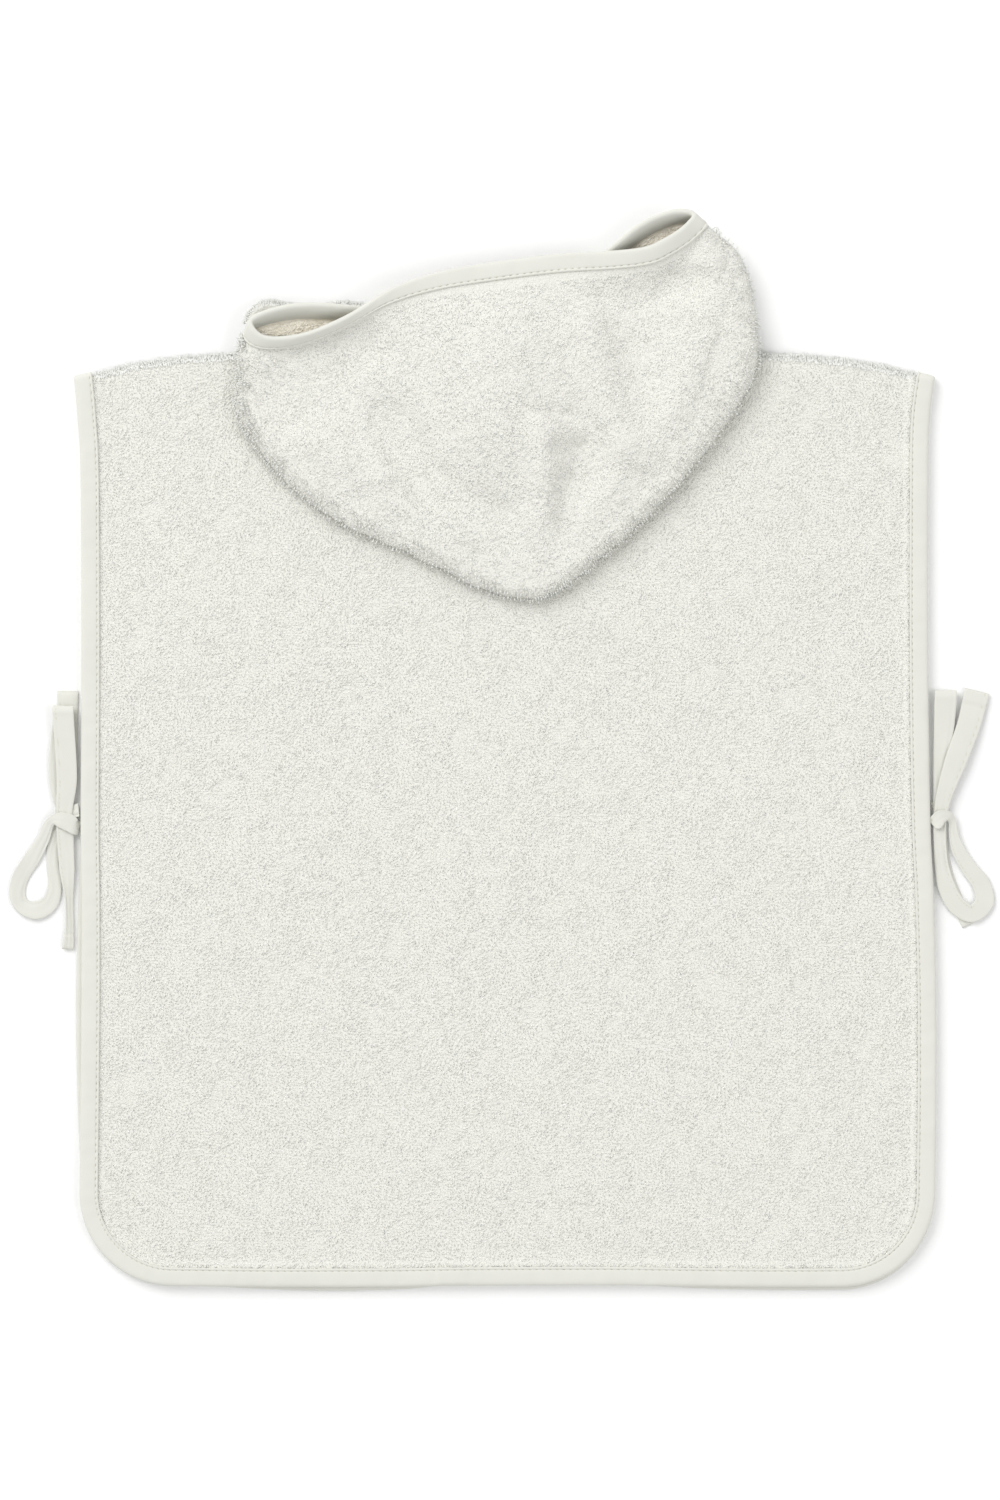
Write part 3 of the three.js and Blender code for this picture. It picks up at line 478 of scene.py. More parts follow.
# %% The ground cloth of the two panels
TERRY, GAP, TAPE, TAPE_FOLDED = 2.8, 0.3, 1.0, 3.4
GROUND, PILE = 1.1, 0.85
LAYERS = {"front": (0, TAPE_FOLDED / 2), "back": (TERRY + GAP, TAPE_FOLDED * 1.5 + GAP)}
TAPE_END, FIELD_START = 10.9, 14.5
SEAM_ROUND, SEAM_SINK = 3.5, 0.7
LAID_WAVES = [(0.22, 130, 3), (0.1, 38, 4)]  # height, wavelength, seed
LAID_LIMITS = (-0.7, 0.55)
LAID_CREASES = [  # from x, y, to x, y, width, rise
    (70, 62, 108, 36, 22, -0.5), (216, 74, 200, 40, 9, 0.5), (232, 60, 214, 26, 8, -0.5),
    (226, -160, 240, -186, 10, 0.4), (-230, -40, -214, -84, 9, 0.4), (-120, -70, -60, -160, 34, -0.3),
    (150, -230, 236, -206, 30, -0.5), (-180, 150, -120, 60, 30, 0.3), (180, 160, 120, 96, 26, 0.3),
]


def away_from(x, y, ends):
    """Distance of each place from a straight line between two points."""
    x1, y1, x2, y2 = ends
    along = ((x - x1) * (x2 - x1) + (y - y1) * (y2 - y1)) / ((x2 - x1) ** 2 + (y2 - y1) ** 2)
    along = np.clip(along, 0, 1)
    return np.hypot(x - x1 - along * (x2 - x1), y - y1 - along * (y2 - y1))


def ridges(x, y, table):
    """The rises of a table's lines, each of them soft on both sides."""
    return [rise * np.exp(-(away_from(x, y, ends) / width) ** 2) for *ends, width, rise in table]


def laid_height(x, y):
    """How far the back panel is lifted or lowered at a place."""
    lift = sum(ridges(x, y, LAID_CREASES), layered(x, y, LAID_WAVES))
    return np.clip(lift, *LAID_LIMITS)


def ground_top(layer, x, y, from_edge):
    """Height of the upper face of a panel's ground cloth."""
    low, tape_middle = LAYERS[layer]
    field = low + TERRY - PILE + (laid_height(x, y) if layer == "back" else 0)
    seam = 1 - np.clip((top_edge(x) - y) / SEAM_ROUND, 0, 1)
    sink = SEAM_SINK if layer == "back" else -SEAM_SINK
    field = field - sink * (1 - np.sqrt(1 - seam ** 2))
    in_tape = tape_middle + GROUND / 2
    return in_tape + (field - in_tape) * ease(TAPE_END, FIELD_START, from_edge)


def ground_panel(layer, columns, rows):
    left, right, hem = LAYER_COLUMNS[layer]
    u, v = np.meshgrid(np.linspace(0, 1, columns), np.linspace(0, 1, rows), indexing="ij")
    level = PANEL_LOW + (SIDES[0][0] - PANEL_LOW) * v
    side = through_rows(SIDES, steps_through(SIDES, TABLE_STEPS))[::-1]
    half = {k: np.interp(level, side[:, 0], side[:, k]) for k in (left, right)}
    inside_corner = np.sqrt(1 - np.clip((CORNER_TOP - level) / CORNER_RADIUS, 0, 0.9999) ** 2)
    hem_left, hem_right = -HEMS[0][0], HEMS[-1][0]
    half_left = hem_left + (half[left] - hem_left) * inside_corner - TAPE - GAP
    half_right = hem_right + (half[right] - hem_right) * inside_corner - TAPE - GAP
    x = -half_left + (half_left + half_right) * u
    hem_line = through_rows(HEMS, steps_through(HEMS, TABLE_STEPS))
    low = np.interp(x, hem_line[:, 0], hem_line[:, hem]) + TAPE + GAP
    y = low + (top_edge(x) - low) * v
    plan = np.column_stack([x.ravel(), y.ravel()])
    height = ground_top(layer, plan[:, 0], plan[:, 1], distance_to(edges[layer], plan))
    points = np.column_stack([plan, height])
    faces = net_faces(columns, rows)[:, ::-1]
    piece = new_piece(f"{layer}_panel_ground", points, faces, [ground_finish])
    give_wall(piece, GROUND)
    return piece


back_ground = ground_panel("back", columns=181, rows=191)
front_ground = ground_panel("front", columns=91, rows=96)
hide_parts("back_panel")
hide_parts("front_panel")
report(back_ground)
report(front_ground)

# %% [markdown]
# The hood is drawn by sections from its mouth to the neck, in order round the mouth. Each runs
# from the mouth to a fold at the side, rolls over there and comes back underneath to the neck.
# The crown between mouth and fold is a low dome with soft ridges and troughs, which are a
# table of lines. The sections are the frame's own, read in much finer steps, but the far rim
# of the mouth leans inwards here, so that its inner face shows from above.

# %% Sections and folds of the hood
HOOD_LEFT = [  # mouth x y z, side x y, roll, top, neck x y z, puff, wall
    (-0.6, 281, 5.4, -0.6, 269.4, 1.2, 3.4, -0.6, 262.4, 1.3, 0, 1.8),
    (-38, 287, 6.4, -36, 275.5, 1.2, 3.4, -22, 263.4, 1.3, 0, 1.8),
    (-64, 297, 9, -61, 285, 1.2, 4.5, -45, 266.6, 1.5, 0, 1.9),
    (-88, 300.6, 14, -85, 284.5, 1.4, 7, -63, 270.9, 2.2, -0.7, 2.2),
    (-114, 302.2, 17.4, -113, 284, 1.4, 9, -72.5, 273.8, 3.2, -1, 2.4),
    (-133, 299.8, 18.6, -136, 283.5, 1.6, 10, -76.5, 276, 4.6, -1, 2.6),
    (-148.4, 293.4, 19.6, -152, 283, 1.8, 12, -79, 277, 6.2, -0.5, 2.8),
    (-144.5, 284.8, 20.5, -155.2, 278, 3, 13, -80, 275, 7.4, 0.1, 2.8),
    (-133, 282.4, 21, -156.2, 262, 8, 14, -78, 272.4, 7.6, 0.5, 2.8),
    (-114, 285.6, 22, -156, 240, 9, 13.5, -73, 270.2, 7.6, 0.9, 2.8),
    (-91, 295.8, 22, -145.5, 220, 10, 14, -65, 268, 7.6, 1, 2.8),
    (-66, 311, 19.5, -113.5, 186, 11, 15, -50, 265.4, 7.6, 1, 2.8),
    (-38, 320.4, 17, -61, 159.2, 11, 15, -26, 262.6, 7.6, 1, 2.8),
    (-3.5, 326.4, 15.5, 13, 130.4, 8, 13, 0, 261.2, 7.6, 1, 2.8),
]
HOOD_RIGHT = [
    (33, 330.8, 16.5, 60, 158.6, 10, 14, 26, 262.6, 7.6, 1, 2.8),
    (62, 332.4, 19, 98, 194, 12, 15, 50, 265.4, 7.6, 1, 2.8),
    (82, 334.6, 22, 131, 236, 18, 17.5, 68, 269.2, 7.6, 1, 2.8),
    (93, 339.2, 24, 146, 264, 20, 18.5, 77, 272.4, 7.6, 0.9, 2.8),
    (102.5, 345, 25, 147, 291, 20, 18.5, 80.5, 275.6, 6.8, 0.6, 2.8),
    (107.8, 349.8, 25, 141.5, 322, 16, 18, 79, 277.4, 5.4, 0.2, 2.8),
    (110.6, 353.6, 24, 131, 338, 8, 17, 74.5, 275.4, 4.2, 0, 2.6),
    (107.4, 356.4, 23, 117, 345, 3, 13.5, 66, 271.6, 2.8, -0.4, 2.4),
    (97, 356.2, 21, 103, 340, 1.6, 11, 52, 268, 1.8, -0.8, 2.2),
    (82.6, 350.6, 18, 88, 334, 1.6, 9, 36, 265.1, 1.5, -0.8, 2.0),
    (68.4, 340.6, 14.4, 72, 325, 1.6, 6.5, 24, 263.6, 1.4, -0.4, 1.9),
    (38, 314, 8.6, 37, 302, 1.4, 4.4, 12, 262.8, 1.3, 0, 1.8),
    (0.6, 281, 5.4, 0.6, 269.4, 1.2, 3.4, 0.6, 262.4, 1.3, 0, 1.8),
]
HOOD_SECTIONS = HOOD_LEFT + HOOD_RIGHT
SEAM_SECTION = len(HOOD_LEFT) - 1
CROWN_HEIGHT, CROWN_LEAST = 12.4, 11.2
CROWN_FOLDS = [  # from x, y, to x, y, width, rise
    (-9, 285, -3, 245, 46, 11),  # dome
    (50, 290, 68, 222, 12, 6),  # right of the dome
    (-126, 218, -34, 166, 20, 9),  # lower left lobe
    (122, 322, 106, 232, 20, 8),  # right side
    (82, 206, 58, 166, 18, 7.5),  # lower right lobe
    (24, 228, 20, 138, 9, 4),  # pleat to the tip
    (-66, 232, -44, 194, 11, -9),  # crescent, upper part
    (-44, 194, -6, 176, 10, -9),  # crescent, middle
    (-6, 176, 4, 150, 8, -7),  # crescent, lower part
    (48, 218, 37, 160, 9, -5),  # right of the pleat
    (-92, 279, -138, 230, 14, -8),  # below the left loop
    (14, 241, 52, 236, 4, -2),  # short crease
    (62, 313, 114, 316, 9, -6),  # below the right loop
]


def crown_height(x, y):
    over = sum(ridges(x, y, CROWN_FOLDS), CROWN_HEIGHT) - CROWN_LEAST
    return CROWN_LEAST + (over + np.sqrt(over * over + 1)) / 2


# %% [markdown]
# One section gives the middle surface of the hood's cloth. Its first stretch is straight,
# because it lies in the tape. The crown, the roll and the underside follow, each with its own
# number of steps. The sections stand 1 mm apart along the mouth, so the needle holes of the
# tape can later be put at every fourth one.

# %% The hood's surface
BAND, BAND_SHARE_MOST = 9.6, 0.94
BAND_ROWS, CROWN_ROWS, ROLL_ROWS, UNDER_ROWS = 4, 36, 12, 12


def hood_section(row):
    mouth, side, roll, top, neck = row[0:3], row[3:5], row[5], row[6], row[7:10]
    puff, wall = row[10], row[11]
    to_mouth, to_neck = mouth[:2] - side, neck[:2] - side
    crown_length = np.linalg.norm(to_mouth) - roll
    to_mouth, to_neck = unit(to_mouth), unit(to_neck)
    roll_top, roll_under = side + to_mouth * roll, min(roll, 6)

    def crown(f):
        plan = mouth[:2] + np.outer(f, roll_top - mouth[:2])
        share = max(puff, 0) * ease(0, 0.3, f) * (1 - ease(0.75, 1, f))
        level = top + (mouth[2] - top) * np.maximum(1 - f, 0) ** (1 + 2 * max(-puff, 0))
        level = level + (crown_height(plan[:, 0], plan[:, 1]) - level) * share
        return np.column_stack([plan, level])

    def under(plan):
        past = ease(0, 18, plan[:, 1] - top_edge(plan[:, 0]) - 1)
        return np.column_stack([plan, neck[2] + (min(wall / 2 + 0.2, neck[2]) - neck[2]) * past])

    band_share = min(BAND / math.hypot(crown_length, mouth[2] - top), BAND_SHARE_MOST)
    into = unit(crown(np.array([band_share]))[0] - mouth)
    band = mouth + np.outer(np.linspace(0, BAND, BAND_ROWS), into)
    crown_points = crown(np.linspace(band_share, 1, CROWN_ROWS + 1)[1:])
    start = crown_points[-1]
    end = under((side + to_neck * roll_under)[None])[0]
    handles = [start, np.append(side - to_mouth * roll / 3, start[2]),
               np.append(side - to_neck * roll_under / 3, end[2]), end]
    f = np.linspace(0, 1, ROLL_ROWS + 1)[1:, None]
    bend = sum(weight * handle for weight, handle in zip(
        [(1 - f) ** 3, 3 * f * (1 - f) ** 2, 3 * f * f * (1 - f), f ** 3], handles))
    back = end[:2] + np.outer(np.linspace(0, 1, UNDER_ROWS + 1)[1:], neck[:2] - end[:2])
    return np.vstack([band, crown_points, bend, under(back)])


def hood_places():
    """Places along the sections that stand 1 mm apart along the mouth, with one at the seam."""
    fine = np.linspace(0, len(HOOD_SECTIONS) - 1, 4001)
    mouth = through_rows(HOOD_SECTIONS, fine)[:, :3]
    gone = np.concatenate([[0], np.cumsum(np.linalg.norm(np.diff(mouth, axis=0), axis=1))])
    at_seam = np.interp(SEAM_SECTION, fine, gone)
    ends = [(0, at_seam), (at_seam, gone[-1])]
    halves = [np.linspace(a, b, int(round(b - a)) + 1) for a, b in ends]
    return np.interp(np.concatenate([halves[0], halves[1][1:]]), gone, fine), len(halves[0]) - 1


places, seam_column = hood_places()
hood_rows_read = through_rows(HOOD_SECTIONS, places)
hood = np.array([hood_section(row) for row in hood_rows_read])
hood_wall = hood_rows_read[:, 11]
hood_across = np.gradient(hood, axis=0)
hood_out = -unit(np.cross(hood_across, np.gradient(hood, axis=1)))
print("hood net:", hood.shape, "mouth", len(hood) - 1, "mm round")

# %% [markdown]
# The two halves meet in a seam over the crown, where the cloth dips in. Small hollows between clumps of
# pile are too fine for the table of folds, so smooth noise adds them. Each half is a net with a wall, and
# its inner face gets the lighter, warmer copy of the terry, whose colour paints the light that comes
# through the cloth.

# %% The two halves of the hood
SEAM_DIP, SEAM_WIDTH = 0.25, 1.6
LIFT_IN_TAPE = 0.6
HOOD_WAVES = [(0.45, 26, 11), (0.25, 11, 12)]  # height, wavelength, seed


def hood_lift():
    """How far the ground's outer face stands off the middle surface, at each point."""
    lift = np.tile(hood_wall[:, None] / 2 - PILE, (1, hood.shape[1]))
    lift[:, :BAND_ROWS] = LIFT_IN_TAPE
    from_seam = np.linalg.norm((hood - hood[seam_column][None])[..., :2], axis=2)
    free = ease(BAND_ROWS - 1, BAND_ROWS + 5, np.arange(hood.shape[1]))[None]
    lift = lift + free * layered(hood[..., 0], hood[..., 1], HOOD_WAVES)
    return lift - free * SEAM_DIP * np.exp(-(from_seam / SEAM_WIDTH) ** 2)


hood_ground = hood + hood_out * hood_lift()[..., None]


def hood_half(name, first, last):
    net = hood_ground[first:last + 1]
    faces = net_faces(*net.shape[:2])
    # The inner face takes the lit copy of the ground: painted light through the cloth.
    piece = new_piece(name, net, faces, [ground_finish, inside_ground_painted_light])
    give_wall(piece, GROUND, inner_finish=1)
    return piece


hood_left_ground = hood_half("hood_left_ground", 0, seam_column)
hood_right_ground = hood_half("hood_right_ground", seam_column, len(hood) - 1)
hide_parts("hood_left")
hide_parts("hood_right")
report(hood_left_ground)
report(hood_right_ground)

# %% [markdown]
# Each tuft of the pile is a bent loop of yarn 2 to 3 mm long and 0.8 mm wide that lies almost
# flat. Hair or an image would be quicker, but the pile has to be real geometry that casts small
# shadows and stands out at the edge. So one tuft is a closed spindle of five points, its middle
# lifted and pushed to one side, and arrays place tens of thousands of them. They follow a
# smooth field of directions, because washed terry swirls like a fingerprint.

# %% Tufts
TUFT_FACES = np.array([(0, 3, 2), (0, 4, 3), (0, 2, 4), (1, 2, 3), (1, 3, 4), (1, 4, 2)])
# Painted light at a tuft's five points: its top lightest, its root and its sides darkest.
TUFT_PAINTED_LIGHT = np.array([0.15, 0.75, 1.0, 0.1, 0.1])
TUFT_SHARE, TUFT_WIDE, TUFT_HIGH = (0.75, 1.3), (0.34, 0.5), (0.36, 0.78)  # least and most
TUFT_TURN, TUFT_BEND, TUFT_SHADE = 0.24, 0.16, 0.02  # spreads
ROOT_DEPTH, SIDE_DEPTH = 0.15, 0.1
NAP_MIDDLE, NAP_WAVES = -1.3, [(1.5, 62, 21), (1.3, 17, 22)]


def nap_angle(x, y):
    return NAP_MIDDLE + layered(x, y, NAP_WAVES)


def tufts(name, roots, out, turn, length, finish, seed, tall=1.0):
    """One tuft at each root, lying along its turn on a surface that faces out."""
    draw = np.random.default_rng(seed)
    count = len(roots)
    turn = turn + draw.normal(0, TUFT_TURN, count)
    flat = np.column_stack([np.cos(turn), np.sin(turn), np.zeros(count)])
    along = unit(flat - out * np.sum(flat * out, axis=1, keepdims=True))
    across = np.cross(out, along)
    size = length * draw.uniform(*TUFT_SHARE, (count, 1))
    wide = draw.uniform(*TUFT_WIDE, (count, 1))
    high = tall * draw.uniform(*TUFT_HIGH, (count, 1))
    middle = roots + across * draw.normal(0, TUFT_BEND, (count, 1))
    points = np.stack([
        roots - along * size / 2 - out * ROOT_DEPTH,
        roots + along * size / 2 + out * high * 0.45,
        middle + out * high + along * size * 0.05,
        middle + across * wide - out * SIDE_DEPTH,
        middle - across * wide - out * SIDE_DEPTH,
    ], axis=1)
    faces = (np.arange(count)[:, None, None] * 5 + TUFT_FACES).reshape(-1, 3)
    piece = new_piece(name, points, faces, [finish])
    # Each point's share of painted light, from shaded root to lit top.
    mark(piece, "painted_tip_light", np.tile(TUFT_PAINTED_LIGHT, count))
    mark(piece, "shade", np.repeat(draw.normal(1.0, TUFT_SHADE, count), 5))
    report(piece)
    return piece


# %% [markdown]
# On the back panel the tufts stand 1.6 mm apart on a shaken grid. None stand inside the tape,
# and none far under the hood, where nobody sees them. At the shoulder seams rows of flatter
# tufts point outwards in small clumps, which makes the fuzzy edge of cut terry.

# %% Pile of the back panel
TUFT_PITCH, TUFT_LENGTH = 1.6, 2.5
UNDER_HOOD_MARGIN = 9
ROOTS_ACROSS, ROOTS_ALONG, ROOTS_SHAKE = (-252, 254), (-274, 276), 0.42
hood_outline = through_rows(HOOD_SECTIONS, steps_through(HOOD_SECTIONS, 261))[:, 3:5]


def inside_outline(outline, points):
    x, y = points[:, 0:1], points[:, 1:2]
    (x1, y1), (x2, y2) = outline.T, np.roll(outline, -1, axis=0).T
    spans = (y1 > y) != (y2 > y)
    with np.errstate(divide="ignore", invalid="ignore"):
        crossing = x < (x2 - x1) * (y - y1) / (y2 - y1) + x1
    return (spans & crossing).sum(axis=1) % 2 == 1


def under_hood(points, margin):
    hidden = inside_outline(hood_outline, points)
    near = distance_to(resampled(np.vstack([hood_outline, hood_outline[:1]]), 2.0), points) < margin
    return hidden & ~near


def back_roots(pitch):
    draw = np.random.default_rng(31)
    x, y = np.meshgrid(np.arange(*ROOTS_ACROSS, pitch), np.arange(*ROOTS_ALONG, pitch))
    x = x + (np.arange(x.shape[0]) % 2)[:, None] * pitch / 2
    shake = draw.uniform(-ROOTS_SHAKE, ROOTS_SHAKE, (x.size, 2)) * pitch
    roots = np.column_stack([x.ravel(), y.ravel()]) + shake
    across = np.linspace(250, -250, 101)
    outline = np.vstack([edges["back"], np.column_stack([across, top_edge(across) - 0.4])])
    roots = roots[inside_outline(outline, roots)]
    from_edge = distance_to(edges["back"], roots)
    clear = from_edge > TAPE_END + 0.1
    roots, from_edge = roots[clear], from_edge[clear]
    shown = ~under_hood(roots, UNDER_HOOD_MARGIN)
    return roots[shown], from_edge[shown]


roots, from_edge = back_roots(TUFT_PITCH)
level = ground_top("back", roots[:, 0], roots[:, 1], from_edge)
for k, (low, high) in enumerate([(-300, -118), (-118, 40), (40, 300)], 1):
    here = (roots[:, 1] >= low) & (roots[:, 1] < high)
    stand = np.column_stack([roots[here], level[here]])
    turn = nap_angle(stand[:, 0], stand[:, 1])
    tufts(f"back_panel_pile_{k}", stand, straight_up(len(stand)), turn,
                            TUFT_LENGTH, pile_finish, 40 + k)


def clump(gone, seed):
    """How long the tufts of a fringe are, place by place, so that they stand in clumps."""
    return 1 + layered(gone, 0, [(0.22, 9, seed), (0.14, 3.4, seed + 1)])


FRINGE_INNER, FRINGE_OUTER, FRINGE_PITCH, FRINGE_LENGTH = 72, 241, 1.1, 3.5
FRINGE_ROWS = {"back": 9, "front": 4}
FRINGE_SEEDS = {"back": 35, "front": 37}
FRINGE_BAND = (-2.6, 1.5)  # how far the roots stand past the seam
FRINGE_TALL = 0.45
STRAY = 0.35  # spread of the turns of a fringe, in radians


def shoulder_fringe():
    """Tufts that stand outwards from the rounded shoulder edges: roots, turns and lengths."""
    draw = np.random.default_rng(33)
    stands, turns, lengths = [], [], []
    for layer, rows in FRINGE_ROWS.items():
        along = np.arange(FRINGE_INNER, FRINGE_OUTER, FRINGE_PITCH)
        for sign in (-1, 1) * rows:
            x = sign * (along + draw.uniform(-0.4, 0.4, len(along)))
            past = draw.uniform(*FRINGE_BAND, len(x))
            cloth = ground_top(layer, x, top_edge(x) + np.minimum(past, -0.3), FIELD_START)
            height = cloth + 0.1 - 0.5 * np.maximum(past, 0)
            stands.append(np.column_stack([x, top_edge(x) + past, height]))
            turns.append(math.pi / 2 + draw.normal(0, STRAY, len(x)))
            lengths.append(FRINGE_LENGTH * clump(x, FRINGE_SEEDS[layer]))
    return np.vstack(stands), np.concatenate(turns), np.concatenate(lengths)


stand, turn, length = shoulder_fringe()
shoulder_tufts = tufts("shoulder_pile", stand, straight_up(len(stand)), turn, length[:, None],
                       pile_finish, 47, FRINGE_TALL)

# %% [markdown]
# On the hood the tufts stand closer, because the cloth is stretched over the folds there and
# its pile opens towards the light. Their places are drawn on the net itself, in equal shares of
# its area. The inside of the hood shows at both ends of the mouth, so it gets pile there too.
# A fringe stands on the hood's silhouette, and one more fold of terry peeks out behind its
# left end.

# %% Pile of the hood
HOOD_PITCH, INSIDE_PITCH = 1.36, 1.5
HOOD_TUFT, INSIDE_TUFT, HOOD_TALL = 2.3, 2.0, 0.85
HOOD_FRINGE, HOOD_FRINGE_LENGTH, HOOD_FRINGE_TALL = 5, 3.0, 0.5  # the first is per millimetre
SILHOUETTE_TILT = 0.6  # how much the cloth still faces up where the fringe stands
OUTER_FOLD = [  # x, y, z
    (-82, 299.2, 5.5), (-90, 300.4, 5.5), (-98, 300.6, 5.5), (-108, 298.6, 5.5), (-118, 298.6, 5.6),
    (-130, 300.2, 6), (-139, 301.6, 6.5), (-146, 298.6, 7), (-150, 291, 7),
]
FOLD_HALF_WIDTH, FOLD_HALF_HEIGHT, FOLD_SIDES, FOLD_TALL = 3.0, 2.2, 10, 0.6
FOLD_TUFTS, FOLD_TUFT = 14, 2.8  # how many per millimetre, and how long


def scattered(net, out, pitch, seed, keep):
    """Places and outward directions spread over a net of points, one for each square of pitch."""
    draw = np.random.default_rng(seed)
    a, b, c, d = net[:-1, :-1], net[1:, :-1], net[1:, 1:], net[:-1, 1:]
    area = np.linalg.norm(np.cross(c - a, d - b), axis=2) / 2 * keep[:-1, :-1]
    gone = np.cumsum(area.ravel())
    count = int(gone[-1] / pitch ** 2)
    cell = np.searchsorted(gone, (np.arange(count) + draw.uniform(0, 1, count)) / count * gone[-1])
    i, j = np.unravel_index(np.minimum(cell, area.size - 1), area.shape)
    s, t = draw.uniform(0, 1, (2, count, 1))
    blend = [(1 - s) * (1 - t), s * (1 - t), s * t, (1 - s) * t]
    corners = [(i, j), (i + 1, j), (i + 1, j + 1), (i, j + 1)]
    places = sum(w * net[k] for w, k in zip(blend, corners))
    return places, unit(sum(w * out[k] for w, k in zip(blend, corners)))


def hood_shown():
    """Which points of the hood's outer face carry pile: all but the tape and the far underside."""
    row = np.arange(hood.shape[1])
    keep = (row >= BAND_ROWS) & (row <= BAND_ROWS + CROWN_ROWS + ROLL_ROWS)
    return np.tile(keep, (len(hood), 1)).astype(float)


stand, out = scattered(hood_ground, hood_out, HOOD_PITCH, 51, hood_shown())
turn = nap_angle(stand[:, 0] + 500, stand[:, 1])
hood_tufts = tufts("hood_pile", stand, out, turn, HOOD_TUFT, pile_finish, 52, HOOD_TALL)


def between(low, high):
    """Which stations round the mouth lie between two sections."""
    return (places > low) & (places < high)


def hood_fringe():
    """Roots on the silhouette of the hood, with their turns and lengths: its outermost rows."""
    draw = np.random.default_rng(56)
    first, last = BAND_ROWS + CROWN_ROWS - 8, BAND_ROWS + CROWN_ROWS + ROLL_ROWS
    net, out = hood_ground[:, first:last], hood_out[:, first:last]
    edge = np.argmin(np.abs(out[..., 2] - SILHOUETTE_TILT), axis=1)
    column = np.repeat(np.nonzero(between(6.2, 20.4))[0], HOOD_FRINGE)
    row = np.clip(edge[column] + draw.integers(-4, 3, len(column)), 0, last - first - 1)
    outward = out[column, row]
    along = column + draw.uniform(-0.5, 0.5, len(column))
    turn = np.arctan2(outward[:, 1], outward[:, 0]) + draw.normal(0, STRAY, len(column))
    stand = net[column, row] + outward * draw.uniform(0.6, 2.4, (len(column), 1))
    return stand, turn, HOOD_FRINGE_LENGTH * clump(along, 57)


def outer_fold():
    """The fold of terry that peeks out behind the left loop, and tufts on its outer side."""
    line = resampled(through_rows(OUTER_FOLD, steps_through(OUTER_FOLD, 60)), 1.0)
    along = unit(np.gradient(line, axis=0))
    out = unit(np.column_stack([along[:, 1], -along[:, 0], np.zeros(len(line))]))
    angle = np.arange(FOLD_SIDES) / FOLD_SIDES * 2 * math.pi
    ring = np.column_stack([np.cos(angle) * FOLD_HALF_WIDTH, np.sin(angle) * FOLD_HALF_HEIGHT])
    stations = line, out, straight_up(len(line))
    rings = np.tile(ring, (len(line), 1, 1))
    fold = sweep("hood_outer_fold", stations, rings, ground_finish)
    draw = np.random.default_rng(59)
    k = draw.integers(0, len(line), FOLD_TUFTS * len(line))
    lift = draw.uniform(-0.6, 1.5, len(k))
    stand = line[k] + out[k] * (3.6 * np.cos(lift))[:, None]
    stand[:, 2] += np.sin(lift) * 2.1
    turn = np.arctan2(out[k, 1], out[k, 0]) + draw.normal(0, 0.4, len(k))
    return fold, stand, turn, FOLD_TUFT * clump(k.astype(float), 60)


outer_cloth, stand, turn, length = outer_fold()
outer_tufts = tufts("hood_outer_fold_pile", stand, straight_up(len(stand)), turn,
                    length[:, None], pile_finish, 62, FOLD_TALL)
stand, turn, length = hood_fringe()
fringe_tufts = tufts("hood_fringe", stand, straight_up(len(stand)), turn, length[:, None],
                     pile_finish, 58, HOOD_FRINGE_TALL)


def hood_inside_shown():
    """The inner face that shows: past the tape at the far sides, else the underside."""
    keep = np.zeros(hood.shape[:2])
    loops = (places < 8.2) | (places > 17.5)
    far = between(2.4, 6.9) | between(19.4, 24.6)
    keep[loops, BAND_ROWS + CROWN_ROWS:] = 1
    keep[far, BAND_ROWS:] = 1
    return keep


hood_inner = hood_ground - hood_out * GROUND
stand, out = scattered(hood_inner, -hood_out, INSIDE_PITCH, 53, hood_inside_shown())
turn = nap_angle(stand[:, 0], stand[:, 1] + 500)
# The inside pile takes the lit copy of the pile: painted light through the cloth.
inner_tufts = tufts("hood_inside_pile", stand, out, turn, INSIDE_TUFT, inside_pile_painted_light, 54)

# %% [markdown]
# Bias tape is a strip folded over the raw edge and held by one row of stitches 1.3 mm from its inner
# fold. The real one shows a smooth band, a row of needle holes and then a small raised lip. A sweep
# carries that section along the edge, one station for each millimetre, and at each fourth one the needle
# row is pulled down. The holes are marked, and the finish paints a warm shade into them.

# %% The section of the tape
STITCH_PITCH = 4
NEEDLE_POINT, LIP_POINTS, BAND_POINTS = 5, slice(2, 5), slice(6, 11)
LAP_HEIGHT, LAP_AT = 0.5, -41.2
TAPE_TOP = [
    (-10.9, 0.75), (-10.95, 1.25), (-10.6, 1.72), (-10.1, 1.8), (-9.6, 1.62), (-9.3, 1.36),
    (-9.0, 1.56), (-8.3, 1.66), (-6.6, 1.74), (-4.2, 1.76), (-2.4, 1.7), (-1.2, 1.5), (-0.4, 1.0),
    (0, 0.25),
]
TAPE_UNDER = [
    (0, -0.25), (-0.4, -1.0), (-1.2, -1.5), (-2.4, -1.7), (-10.4, -1.7), (-10.6, -0.72),
    (-1.1, -0.72), (-1.0, 0), (-1.1, 0.72),
]
TAPE_SECTION = np.array(TAPE_TOP + TAPE_UNDER)
HOLE_DEPTH = 0.7


